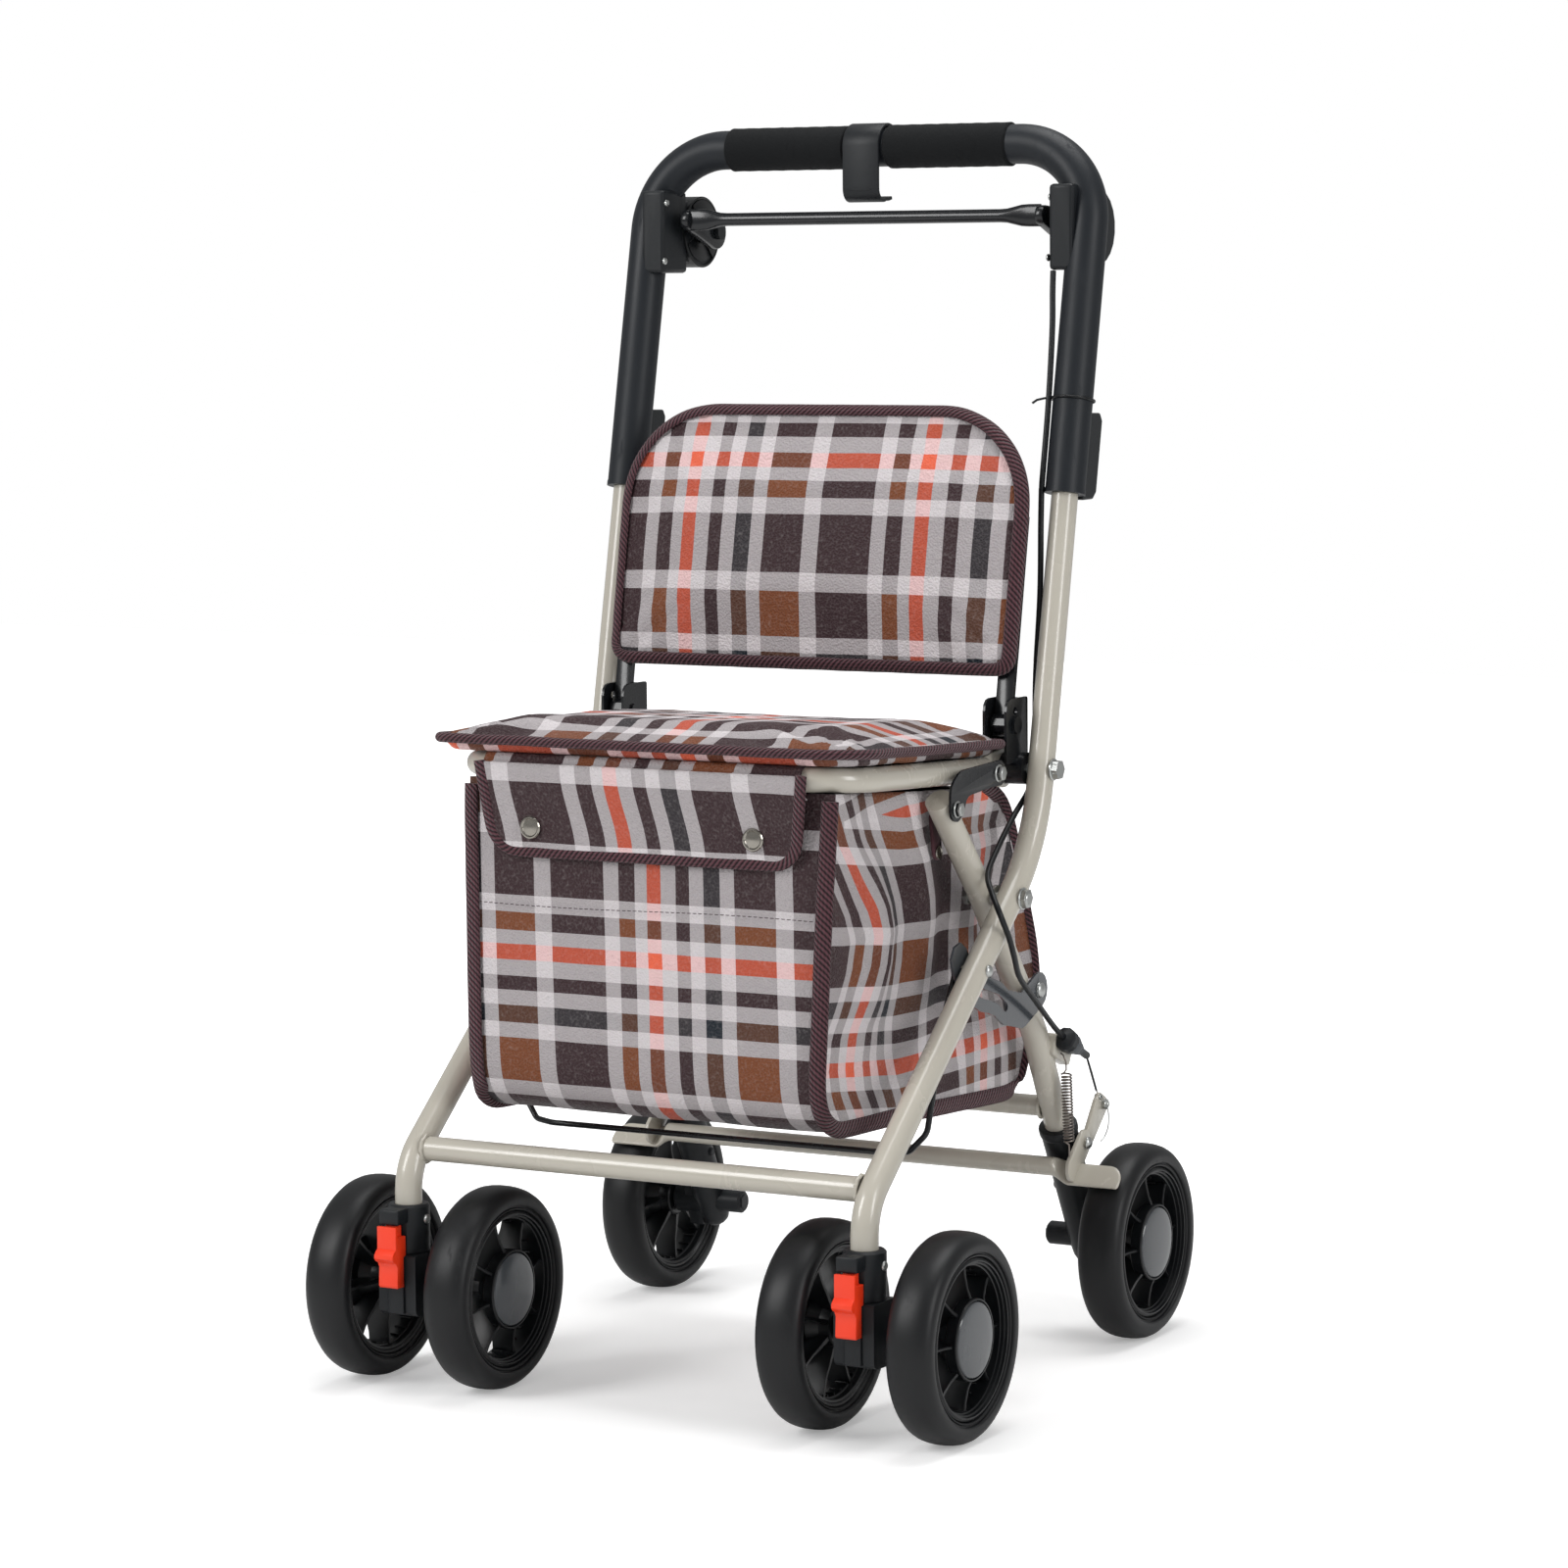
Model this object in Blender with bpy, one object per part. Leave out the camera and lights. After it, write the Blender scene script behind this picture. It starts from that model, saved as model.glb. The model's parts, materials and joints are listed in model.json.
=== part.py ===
"""Wheeled folding walker with a seat, a backrest, a plaid bag and two brakes.

Sizes are in millimetres and are scaled to metres when each mesh is made.
X runs across the walker, -Y is the walking direction, +Z is up, and the floor is z = 0.
"""
import math

import bmesh
import bpy
from mathutils import Matrix, Vector

for old in list(bpy.data.objects):
    bpy.data.objects.remove(old, do_unlink=True)

MM = 0.001

# Driving sizes.
GAP = 0.4
WHEEL_R = 75.0
TYRE_W = 36.0
WHEEL_SEG = 24
TUBE_R = 10.0
SLEEVE_R = 15.0
FRAME_X = 189.5
REAR_X = 166.5
ARM_X = 162.0
ARM_R = 9.0
RAKE = 0.205
FOLD = 37.0

# Named points in the side view, as (y, z).
SEAT_PIVOT = (62.6, 449.0)
CROSS_PIVOT = (10.6, 359.0)
LINK_TOP = (14.0, 450.0)
LINK_FOOT = (-53.0, 430.0)
PLATE_RIVET = (80.6, 281.0)
BACK_PIVOT = (51.0, 482.0)
STEM_Y = -219.0
TRAIL = 34.0
TWIN = 51.6
CASTER_AXLE = (STEM_Y + TRAIL, WHEEL_R)
REAR_AXLE = (185.0, WHEEL_R)
REAR_WHEEL_X = 210.0
SLEEVE_FOOT = 650.8
HANDLE_Z = 910.7
HANDLE_BEND = 62.0
TUBE_TOP = 722.0
HANDLE_Y = SEAT_PIVOT[0] + RAKE * (HANDLE_Z - SEAT_PIVOT[1])
DIAL = (HANDLE_Y + 24.75, HANDLE_Z - 62.7)
BRAKE_PIVOT = (144.0, 155.6)
BRAKE_BAR = (REAR_AXLE[0] - 60.0, REAR_AXLE[1] + 64.0)
BRAKE_TUBE_R = 7.2
SOCKET_TOP = 139.5
SOCKET_FOOT = 104.3

SIDES = (("left", -1), ("right", 1))


def rake_y(z):
    """Return y on the upright's axis at height z."""
    return SEAT_PIVOT[0] + RAKE * (z - SEAT_PIVOT[1])


def leg_z(y):
    """Return z on the front leg's axis at depth y."""
    return CROSS_PIVOT[1] + 0.8327 * (y - CROSS_PIVOT[0])


def turn(point, centre, degrees):
    """Turn a side view point about a centre, from +Y towards +Z."""
    a = math.radians(degrees)
    dy = point[0] - centre[0]
    dz = point[1] - centre[1]
    y = centre[0] + dy * math.cos(a) - dz * math.sin(a)
    z = centre[1] + dy * math.sin(a) + dz * math.cos(a)
    return (y, z)


def angle_of(a, b):
    return math.degrees(math.atan2(b[1] - a[1], b[0] - a[0]))


def link_turns():
    """Turn of the seat and of its link, in degrees, when the legs are folded."""
    foot = turn(LINK_FOOT, CROSS_PIVOT, -FOLD)
    arm = math.dist(LINK_TOP, SEAT_PIVOT)
    rod = math.dist(LINK_TOP, LINK_FOOT)
    d = math.dist(foot, SEAT_PIVOT)
    along = (arm * arm - rod * rod + d * d) / (2.0 * d)
    off = math.sqrt(arm * arm - along * along)
    uy = (foot[0] - SEAT_PIVOT[0]) / d
    uz = (foot[1] - SEAT_PIVOT[1]) / d
    one = (SEAT_PIVOT[0] + uy * along - uz * off, SEAT_PIVOT[1] + uz * along + uy * off)
    two = (SEAT_PIVOT[0] + uy * along + uz * off, SEAT_PIVOT[1] + uz * along - uy * off)
    top = one if one[1] > two[1] else two
    seat = angle_of(SEAT_PIVOT, top) - angle_of(SEAT_PIVOT, LINK_TOP)
    link = angle_of(top, foot) - angle_of(LINK_TOP, LINK_FOOT)
    return seat, link % 360.0, top, foot


def paint(ob, colour, rough, metal=0.0):
    mat = bpy.data.materials.new(ob.name)
    mat.use_nodes = True
    bsdf = mat.node_tree.nodes["Principled BSDF"]
    bsdf.inputs["Base Color"].default_value = (*[(c / 255.0) ** 2.2 for c in colour], 1.0)
    bsdf.inputs["Roughness"].default_value = rough
    bsdf.inputs["Metallic"].default_value = metal
    mat.diffuse_color = bsdf.inputs["Base Color"].default_value
    ob.data.materials.clear()
    ob.data.materials.append(mat)


BEIGE = ((181, 177, 166), 0.3, 0.0)
BLACK = ((36, 40, 43), 0.45, 0.0)
STEEL = ((176, 178, 180), 0.3, 1.0)
PLATE = ((105, 110, 115), 0.4, 0.6)
ORANGE = ((255, 74, 28), 0.4, 0.0)
GREY = ((120, 122, 124), 0.5, 0.0)
CLOTH = ((98, 66, 58), 0.9, 0.0)
FOAM = ((33, 36, 38), 0.95, 0.0)


def to_object(name, bm):
    """Turn a mesh in millimetres into an object in metres."""
    bmesh.ops.recalc_face_normals(bm, faces=bm.faces)
    mesh = bpy.data.meshes.new(name)
    bm.to_mesh(mesh)
    bm.free()
    mesh.transform(Matrix.Scale(MM, 4))
    ob = bpy.data.objects.new(name, mesh)
    bpy.context.scene.collection.objects.link(ob)
    return ob


def combine(ob, other, operation):
    """Join, cut or intersect one object with another and keep only the first."""
    mod = ob.modifiers.new("step", "BOOLEAN")
    mod.operation = operation
    mod.solver = "EXACT"
    mod.object = other
    bpy.context.view_layer.update()
    graph = bpy.context.evaluated_depsgraph_get()
    mesh = bpy.data.meshes.new_from_object(ob.evaluated_get(graph))
    ob.modifiers.clear()
    ob.data = mesh
    bpy.data.objects.remove(other, do_unlink=True)
    tidy = bmesh.new()
    tidy.from_mesh(ob.data)
    bmesh.ops.remove_doubles(tidy, verts=tidy.verts, dist=0.02 * MM)
    bmesh.ops.dissolve_degenerate(tidy, dist=0.01 * MM, edges=tidy.edges)
    tidy.to_mesh(ob.data)
    tidy.free()
    return ob


def join(ob, *others):
    for other in others:
        combine(ob, other, "UNION")
    return ob


def cut(ob, *others):
    for other in others:
        combine(ob, other, "DIFFERENCE")
    return ob


def skin(bm, rings, loop=False):
    """Join equal rings of vertices with quads, with flat caps unless it is a loop."""
    n = len(rings[0])
    count = len(rings)
    last = count if loop else count - 1
    for i in range(last):
        a = rings[i]
        b = rings[(i + 1) % count]
        for k in range(n):
            bm.faces.new((a[k], a[(k + 1) % n], b[(k + 1) % n], b[k]))
    if not loop:
        bm.faces.new(rings[0])
        bm.faces.new(list(reversed(rings[-1])))


def rounded(points, radius, step=11.0):
    """Round the corners of a path of 3-D points."""
    pts = [Vector(p) for p in points]
    radii = radius if isinstance(radius, (list, tuple)) else [radius] * (len(pts) - 2)
    out = [pts[0]]
    for i in range(1, len(pts) - 1):
        a = (pts[i - 1] - pts[i]).normalized()
        b = (pts[i + 1] - pts[i]).normalized()
        bend = math.pi - a.angle(b)
        r = radii[i - 1]
        if r <= 0 or bend < 0.002:
            out.append(pts[i])
            continue
        t = r * math.tan(bend / 2)
        start = pts[i] + a * t
        end = pts[i] + b * t
        centre = pts[i] + (a + b).normalized() * (r / math.cos(bend / 2))
        arm = start - centre
        axis = arm.cross(end - centre).normalized()
        n = max(2, math.ceil(math.degrees(bend) / step))
        for k in range(n + 1):
            out.append(centre + Matrix.Rotation(bend * k / n, 3, axis) @ arm)
    out.append(pts[-1])
    return out


def sweep(name, points, radius, sides=16, loop=False):
    """Make a solid bar along a path; radius is one value or one per point."""
    pts = [Vector(p) for p in points]
    n = len(pts)
    radii = radius if isinstance(radius, (list, tuple)) else [radius] * n
    bm = bmesh.new()
    rings = []
    tangents = []
    for i in range(n):
        before = pts[i - 1] if (i > 0 or loop) else pts[i]
        after = pts[(i + 1) % n] if (i < n - 1 or loop) else pts[i]
        one = (pts[i] - before)
        two = (after - pts[i])
        t = Vector((0, 0, 0))
        if one.length > 0:
            t += one.normalized()
        if two.length > 0:
            t += two.normalized()
        tangents.append(t.normalized())
    seed = Vector((1, 0, 0))
    if abs(tangents[0].dot(seed)) > 0.8:
        seed = Vector((0, 0, 1))
    side = (seed - tangents[0] * seed.dot(tangents[0])).normalized()
    for i in range(n):
        if i > 0:
            side = tangents[i - 1].rotation_difference(tangents[i]) @ side
            side = (side - tangents[i] * side.dot(tangents[i])).normalized()
        up = tangents[i].cross(side)
        stretch = 1.0
        if 0 < i < n - 1:
            half = (pts[i] - pts[i - 1]).angle(pts[i + 1] - pts[i]) / 2
            stretch = 1.0 / math.cos(half)
        ring = []
        for k in range(sides):
            a = 2 * math.pi * (k + 0.5) / sides
            offset = (side * math.cos(a) + up * math.sin(a)) * radii[i]
            if stretch > 1.0005:
                bend_dir = ((pts[i] - pts[i - 1]).normalized() - (pts[i + 1] - pts[i]).normalized())
                if bend_dir.length > 0:
                    bend_dir.normalize()
                    offset += bend_dir * offset.dot(bend_dir) * (stretch - 1.0)
            ring.append(bm.verts.new(pts[i] + offset))
        rings.append(ring)
    skin(bm, rings, loop)
    return to_object(name, bm)


def lathe(name, profile, centre, axis="X", seg=32, phase=0.5, ring=False):
    """Turn a profile of (radius, distance along the axis) about an axis."""
    bm = bmesh.new()
    rows = []
    for r, t in profile:
        if r <= 0:
            place = {"X": (t, 0, 0), "Y": (0, t, 0), "Z": (0, 0, t)}[axis]
            rows.append([bm.verts.new(Vector(centre) + Vector(place))])
            continue
        row = []
        for k in range(seg):
            a = 2 * math.pi * (k + phase) / seg
            c = r * math.cos(a)
            s = r * math.sin(a)
            place = {"X": (t, s, -c), "Y": (c, t, s), "Z": (c, s, t)}[axis]
            row.append(bm.verts.new(Vector(centre) + Vector(place)))
        rows.append(row)
    pairs = list(zip(rows, rows[1:]))
    if ring:
        pairs.append((rows[-1], rows[0]))
    for a, b in pairs:
        for k in range(seg):
            j = (k + 1) % seg
            if len(a) == 1:
                bm.faces.new((a[0], b[k], b[j]))
            elif len(b) == 1:
                bm.faces.new((a[k], b[0], a[j]))
            else:
                bm.faces.new((a[k], b[k], b[j], a[j]))
    return to_object(name, bm)


def rod(name, r, a, b, seg=16):
    """Make a straight round bar between two points."""
    return sweep(name, [a, b], r, seg)


def slab(name, outline, x0, x1):
    """Extrude a side view outline of (y, z) points from x0 to x1."""
    bm = bmesh.new()
    rings = []
    for x in (x0, x1):
        rings.append([bm.verts.new((x, y, z)) for y, z in outline])
    skin(bm, rings)
    return to_object(name, bm)


def block(name, low, high, bevel=0.0, steps=2):
    """Make a box between two corners with rounded edges."""
    bm = bmesh.new()
    bmesh.ops.create_cube(bm, size=1.0)
    size = [high[i] - low[i] for i in range(3)]
    mid = [(high[i] + low[i]) / 2 for i in range(3)]
    bmesh.ops.scale(bm, vec=size, verts=bm.verts)
    bmesh.ops.translate(bm, vec=mid, verts=bm.verts)
    if bevel:
        bmesh.ops.bevel(bm, geom=bm.edges, offset=bevel, segments=steps, affect="EDGES", profile=0.5)
    return to_object(name, bm)


def rounded_outline(corners, radius, step=32.0):
    """Round every corner of a closed outline; radius is one value or one per corner."""
    n = len(corners)
    radii = radius if isinstance(radius, (list, tuple)) else [radius] * n
    out = []
    for i in range(n):
        a = Vector((*corners[i - 1], 0))
        b = Vector((*corners[i], 0))
        c = Vector((*corners[(i + 1) % n], 0))
        if radii[i] <= 0:
            out.append((b.x, b.y))
            continue
        part = rounded([a, b, c], radii[i], step)
        out += [(p.x, p.y) for p in part[1:-1]]
    return out


def capsule(a, b, ra, rb, n=8):
    """Outline that wraps a round end about each of two side view points."""
    base = math.atan2(b[1] - a[1], b[0] - a[0])
    lean = math.asin((ra - rb) / math.dist(a, b))
    out = []
    for k in range(n + 1):
        t = base + math.pi / 2 - lean + (math.pi + 2 * lean) * k / n
        out.append((a[0] + ra * math.cos(t), a[1] + ra * math.sin(t)))
    for k in range(n + 1):
        t = base - math.pi / 2 + lean + (math.pi - 2 * lean) * k / n
        out.append((b[0] + rb * math.cos(t), b[1] + rb * math.sin(t)))
    return out


def pin_x(name, point, r, x0, x1, seg=12):
    """Round bar along X through a side view point."""
    lo, hi = sorted((x0, x1))
    return lathe(name, [(0, lo), (r, lo), (r, hi), (0, hi)], (0, point[0], point[1]), "X", seg)


def origin(ob, x, point):
    """Put the object's origin on its joint axis."""
    place = Vector((x, point[0], point[1])) * MM
    ob.data.transform(Matrix.Translation(-place))
    ob.location = place
    return ob


def done(ob, name, look, x=None, point=None):
    ob.name = name
    ob.data.name = name
    paint(ob, *look)
    if point is not None:
        origin(ob, x, point)
    return ob


seat_turn, link_turn, folded_top, folded_foot = link_turns()
print("fold", FOLD, "seat", round(seat_turn, 2), "link", round(link_turn, 2))
print("ratios", round(seat_turn / -FOLD, 4), round(link_turn / FOLD, 4), round((link_turn - seat_turn) / FOLD, 4))


# Main side tubes: sleeve end, upright, bend, front leg, caster socket end.
def side_path(s):
    x = s * FRAME_X
    corner_y = (CROSS_PIVOT[1] - SEAT_PIVOT[1] - 0.8327 * CROSS_PIVOT[0] + SEAT_PIVOT[0] / RAKE)
    corner_y = corner_y / (1 / RAKE - 0.8327)
    points = [
        (x, STEM_Y, SOCKET_FOOT + 8.0),
        (x, STEM_Y, leg_z(STEM_Y)),
        (x, corner_y, leg_z(corner_y)),
        (x, rake_y(TUBE_TOP), TUBE_TOP),
    ]
    return rounded(points, [45.0, 140.0], 11.0)


def rear_path(s):
    x = s * REAR_X
    top = Vector((0, LINK_FOOT[0] - CROSS_PIVOT[0], LINK_FOOT[1] - CROSS_PIVOT[1])).normalized()
    points = [
        (x, LINK_FOOT[0] + 9.0 * top.y, LINK_FOOT[1] + 9.0 * top.z),
        (x, CROSS_PIVOT[0], CROSS_PIVOT[1]),
        (x, 97.0, 246.0),
        (x, 149.0, 145.0),
    ]
    return rounded(points, [140.0, 70.0], 9.0)


for side, s in SIDES:
    tube = sweep("tube", side_path(s), TUBE_R, 12)
    bore = pin_x("bore", CROSS_PIVOT, 4.3, s * (FRAME_X - 13), s * (FRAME_X + 13))
    bore2 = pin_x("bore", SEAT_PIVOT, 4.3, s * (FRAME_X - 13), s * (FRAME_X + 13))
    cut(tube, bore, bore2)
    rivet_y = -45.0
    rivet = (rivet_y, leg_z(rivet_y))
    stub = pin_x("stub", rivet, 2.9, s * (FRAME_X - 18.0), s * (FRAME_X + 11.0), 12)
    head = pin_x("head", rivet, 5.5, s * (FRAME_X + 9.0), s * (FRAME_X + 12.5), 12)
    join(tube, stub, head)
    done(tube, side + "_side_tube", BEIGE)

    bolt = pin_x("bolt", CROSS_PIVOT, 4.0, s * 153.4, s * (FRAME_X + 11), 12)
    washer = pin_x("washer", CROSS_PIVOT, 9.0, s * (REAR_X + TUBE_R + 0.3), s * (FRAME_X - TUBE_R - 0.3), 16)
    nut = pin_x("nut", CROSS_PIVOT, 7.0, s * 153.2, s * (REAR_X - TUBE_R - 0.3), 6)
    cap = pin_x("cap", CROSS_PIVOT, 7.5, s * (FRAME_X + TUBE_R + 0.3), s * (FRAME_X + TUBE_R + 5.0), 6)
    join(bolt, washer, nut, cap)
    done(bolt, side + "_cross_bolt", STEEL)

cross_y = CROSS_PIVOT[0] + (178.5 - CROSS_PIVOT[1]) / 0.8327
bar = rod("bar", 9.0, (-FRAME_X, cross_y, 178.5), (FRAME_X, cross_y, 178.5))
cut(bar, *[sweep("cope", side_path(s), TUBE_R + 0.3) for side, s in SIDES])
done(bar, "front_cross_tube", BEIGE)


def keep_largest(ob):
    """Keep only the largest loose piece after a bar's ends are coped."""
    bm = bmesh.new()
    bm.from_mesh(ob.data)
    seen = set()
    groups = []
    for v in bm.verts:
        if v in seen:
            continue
        stack = [v]
        group = []
        seen.add(v)
        while stack:
            w = stack.pop()
            group.append(w)
            for e in w.link_edges:
                o = e.other_vert(w)
                if o not in seen:
                    seen.add(o)
                    stack.append(o)
        groups.append(group)
    groups.sort(key=len, reverse=True)
    drop = [v for g in groups[1:] for v in g]
    if drop:
        bmesh.ops.delete(bm, geom=drop, context="VERTS")
    bm.to_mesh(ob.data)
    bm.free()
    return ob


keep_largest(bar)

rod_a = pin_x("rod", SEAT_PIVOT, 4.0, -(FRAME_X + 12), FRAME_X + 12, 12)
for s in (-1, 1):
    head = pin_x("head", SEAT_PIVOT, 7.5, s * (FRAME_X + TUBE_R + 0.3), s * (FRAME_X + TUBE_R + 6.0), 6)
    join(rod_a, head)
done(rod_a, "seat_pivot_rod", STEEL)

# Caster sockets: the side tube's end above, the fork's stem below, a hood for the swivel lock.
for side, s in SIDES:
    x = s * FRAME_X
    lip = 1.5
    socket = lathe("socket", [(0, SOCKET_FOOT), (15.5, SOCKET_FOOT), (15.5, SOCKET_TOP - lip),
                              (15.5 - lip, SOCKET_TOP), (0, SOCKET_TOP)], (x, STEM_Y, 0), "Z", 20)
    tube_hole = rod("h", TUBE_R + 0.3, (x, STEM_Y, SOCKET_FOOT + 7.6), (x, STEM_Y, SOCKET_TOP + 5), 16)
    stem_hole = rod("h", 5.4, (x, STEM_Y, SOCKET_FOOT - 5), (x, STEM_Y, SOCKET_FOOT + 9), 16)
    hood = block("hood", (x - 8.5, STEM_Y - 27.5, 127.2), (x + 8.5, STEM_Y - 13.0, SOCKET_TOP - 1.0), 1.5)
    mouth = block("mouth", (x - 5.2, STEM_Y - 25.2, 120.0), (x + 5.2, STEM_Y - 16.2, 136.2))
    join(socket, hood)
    cut(socket, tube_hole, stem_hole, mouth)
    done(socket, side + "_caster_socket", BLACK)

    # Fork: a swivel block that trails to the axle between the twin wheels.
    foot = CASTER_AXLE
    outline = rounded_outline([(STEM_Y - 17.0, SOCKET_FOOT - 0.4), (STEM_Y - 17.0, 58.0),
                               (foot[0] + 2.0, 56.4), (foot[0] + 17.0, 66.0), (foot[0] + 15.0, 87.0),
                               (STEM_Y + 19.0, 100.0), (STEM_Y + 17.0, SOCKET_FOOT - 0.4)],
                              [1.5, 6.0, 6.0, 9.0, 9.0, 5.0, 1.5])
    fork = slab("fork", outline, x - 16.0, x + 16.0)
    guide = block("guide", (x - 7.0, STEM_Y - 19.6, 60.0), (x + 7.0, STEM_Y - 15.0, SOCKET_FOOT - 1.0), 1.2)
    stem = rod("stem", 5.0, (x, STEM_Y, SOCKET_FOOT - 3.0), (x, STEM_Y, SOCKET_FOOT + 7.0), 16)
    axle = pin_x("axle", foot, 5.0, x - TWIN - 14.0, x + TWIN + 14.0)
    hub = pin_x("hub", foot, 10.0, x - TWIN + 14.5, x + TWIN - 14.5)
    join(fork, guide, stem, axle, hub)
    done(fork, side + "_caster_fork", BLACK, x, (STEM_Y, SOCKET_FOOT))

    outline = [(STEM_Y - 20.0, 83.0), (STEM_Y - 27.0, 83.0), (STEM_Y - 31.0, 88.0), (STEM_Y - 31.0, 91.0),
               (STEM_Y - 26.5, 94.0), (STEM_Y - 24.5, 102.0), (STEM_Y - 27.0, 118.4),
               (STEM_Y - 24.4, 118.4), (STEM_Y - 24.4, 126.6), (STEM_Y - 17.0, 126.6),
               (STEM_Y - 17.0, SOCKET_FOOT - 0.4), (STEM_Y - 20.0, SOCKET_FOOT - 1.4)]
    slider = slab("slider", outline, x - 8.2, x + 8.2)
    for t in (-1, 1):
        lo, hi = sorted((x + t * 4.6, x + t * 12.0))
        cut(slider, block("trim", (lo, STEM_Y - 40.0, 118.4), (hi, STEM_Y - 10.0, 140.0)))
    done(slider, side + "_swivel_lock", ORANGE, x, (STEM_Y - 24.0, SOCKET_FOOT))



# Wheels: each tyre has a stepped tread and sits round a dished rim with a hub.
HUB_R = 29.4


def wheel(name, x, axle, outward):
    """Make one tyre and one rim; outward is the side the dish opens to."""
    flat = 1.0 / math.cos(math.pi / WHEEL_SEG)
    w = TYRE_W / 2
    seat = WHEEL_R - 17.5
    tread = [(seat * flat, -w + 3.0), (WHEEL_R - 8.0, -w), (WHEEL_R * flat, -w + 7.0),
             (WHEEL_R * flat, w - 7.0), (WHEEL_R - 8.0, w), (seat * flat, w - 3.0)]
    tyre = lathe("tyre", tread, (x, axle[0], axle[1]), "X", WHEEL_SEG, 0.5, True)
    done(tyre, name + "_tyre", FOAM, x, axle)
    r = seat - GAP
    o = outward
    bore = 5.4
    shape = [(bore, -13.0 * o), (r - 9.0, -9.0 * o), (r * flat, -(w - 4.0) * o), (r * flat, (w - 4.0) * o),
             (r - 6.0, -4.0 * o), (HUB_R, -4.0 * o), (HUB_R, (w - 0.8) * o), (bore, (w - 0.8) * o)]
    rim = lathe("rim", shape, (x, axle[0], axle[1]), "X", WHEEL_SEG, 0.5, True)
    done(rim, name + "_rim", GREY, x, axle)


for side, s in SIDES:
    wheel(side + "_outer_caster", s * (FRAME_X + TWIN), CASTER_AXLE, s)
    wheel(side + "_inner_caster", s * (FRAME_X - TWIN), CASTER_AXLE, -s)
    wheel(side + "_rear", s * REAR_WHEEL_X, REAR_AXLE, s)

# Rear legs, their cross tube, and the moulded housings that carry the rear wheels.
TAB_FACE = REAR_X + 12.8


def leg_line(s, z):
    """Point on the rear leg's straight lower line at height z."""
    return Vector((s * REAR_X, 97.0 + (z - 246.0) * (149.0 - 97.0) / (145.0 - 246.0), z))


for side, s in SIDES:
    leg = sweep("leg", rear_path(s), TUBE_R, 12)
    cut(leg, pin_x("bore", CROSS_PIVOT, 4.3, s * (REAR_X - 13), s * (REAR_X + 13)))
    if s > 0:
        tab = slab("tab", rounded_outline([(102.0, 229.0), (131.0, 216.0), (138.0, 230.0), (109.0, 245.0)], 3.0),
                   REAR_X + 4.0, TAB_FACE)
        join(leg, tab)
    done(leg, side + "_rear_leg", BEIGE)

    a = REAR_AXLE
    line = [leg_line(s, z) for z in (169.0, 166.0, 96.0, WHEEL_R - 10.0, WHEEL_R - 19.0)]
    housing = sweep("housing", line, [14.9, 14.7, 12.9, 12.4, 8.0], 14)
    ear = pin_x("ear", BRAKE_PIVOT, 7.0, s * 168.0, s * 182.0, 10)
    stub = pin_x("stub", a, 9.0, s * 136.0, s * 160.0, 12)
    axle = pin_x("axle", a, 5.0, s * 170.0, s * (REAR_WHEEL_X + 14.0))
    boss = pin_x("boss", a, 12.0, s * 170.0, s * (REAR_WHEEL_X - 14.5), 10)
    join(housing, ear, stub, axle, boss)
    cut(housing, sweep("hole", rear_path(s)[:-1] + [Vector((s * REAR_X, 150.0, 143.0))], TUBE_R + 0.3))
    cut(housing, pin_x("hole", BRAKE_PIVOT, 3.4, s * 177.6, s * 190.0, 8))
    done(housing, side + "_wheel_housing", BLACK)

cross_rear_y = 97.0 + (184.2 - 246.0) * (149.0 - 97.0) / (145.0 - 246.0)
bar = rod("bar", 8.0, (-REAR_X, cross_rear_y, 184.2), (REAR_X, cross_rear_y, 184.2))
cut(bar, *[sweep("cope", rear_path(s), TUBE_R + 0.3) for side, s in SIDES])
keep_largest(bar)
done(bar, "rear_cross_tube", BEIGE)


# Stay plates on the rear legs: the side tube's rivet slides in each curved slot.
def stay_arc(n):
    """Centre line of the slot: a circle about the cross pivot, then on to its open end."""
    start = (-45.0, leg_z(-45.0))
    out = []
    for k in range(n + 1):
        out.append(turn(start, CROSS_PIVOT, 40.0 * k / n))
    return out


arc = stay_arc(6)
tail = (24.0, 275.5)
line = [turn((-45.0, leg_z(-45.0)), CROSS_PIVOT, -7.0)] + arc + [(arc[-1][0] + 14.0, arc[-1][1] - 4.5), tail]


def band(path, half):
    """Offset a side view path both ways to make a closed outline with round ends."""
    left = []
    right = []
    n = len(path)
    for i in range(n):
        a = path[max(i - 1, 0)]
        b = path[min(i + 1, n - 1)]
        d = math.dist(a, b)
        ty = (b[0] - a[0]) / d
        tz = (b[1] - a[1]) / d
        left.append((path[i][0] - tz * half, path[i][1] + ty * half))
        right.append((path[i][0] + tz * half, path[i][1] - ty * half))
    ends = []
    for tip, prev in ((path[-1], path[-2]), (path[0], path[1])):
        base = math.atan2(tip[1] - prev[1], tip[0] - prev[0])
        fan = []
        for k in range(1, 4):
            t = base + math.pi / 2 - math.pi * k / 4
            fan.append((tip[0] + half * math.cos(t), tip[1] + half * math.sin(t)))
        ends.append(fan)
    return left + ends[0] + list(reversed(right)) + ends[1]


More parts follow.
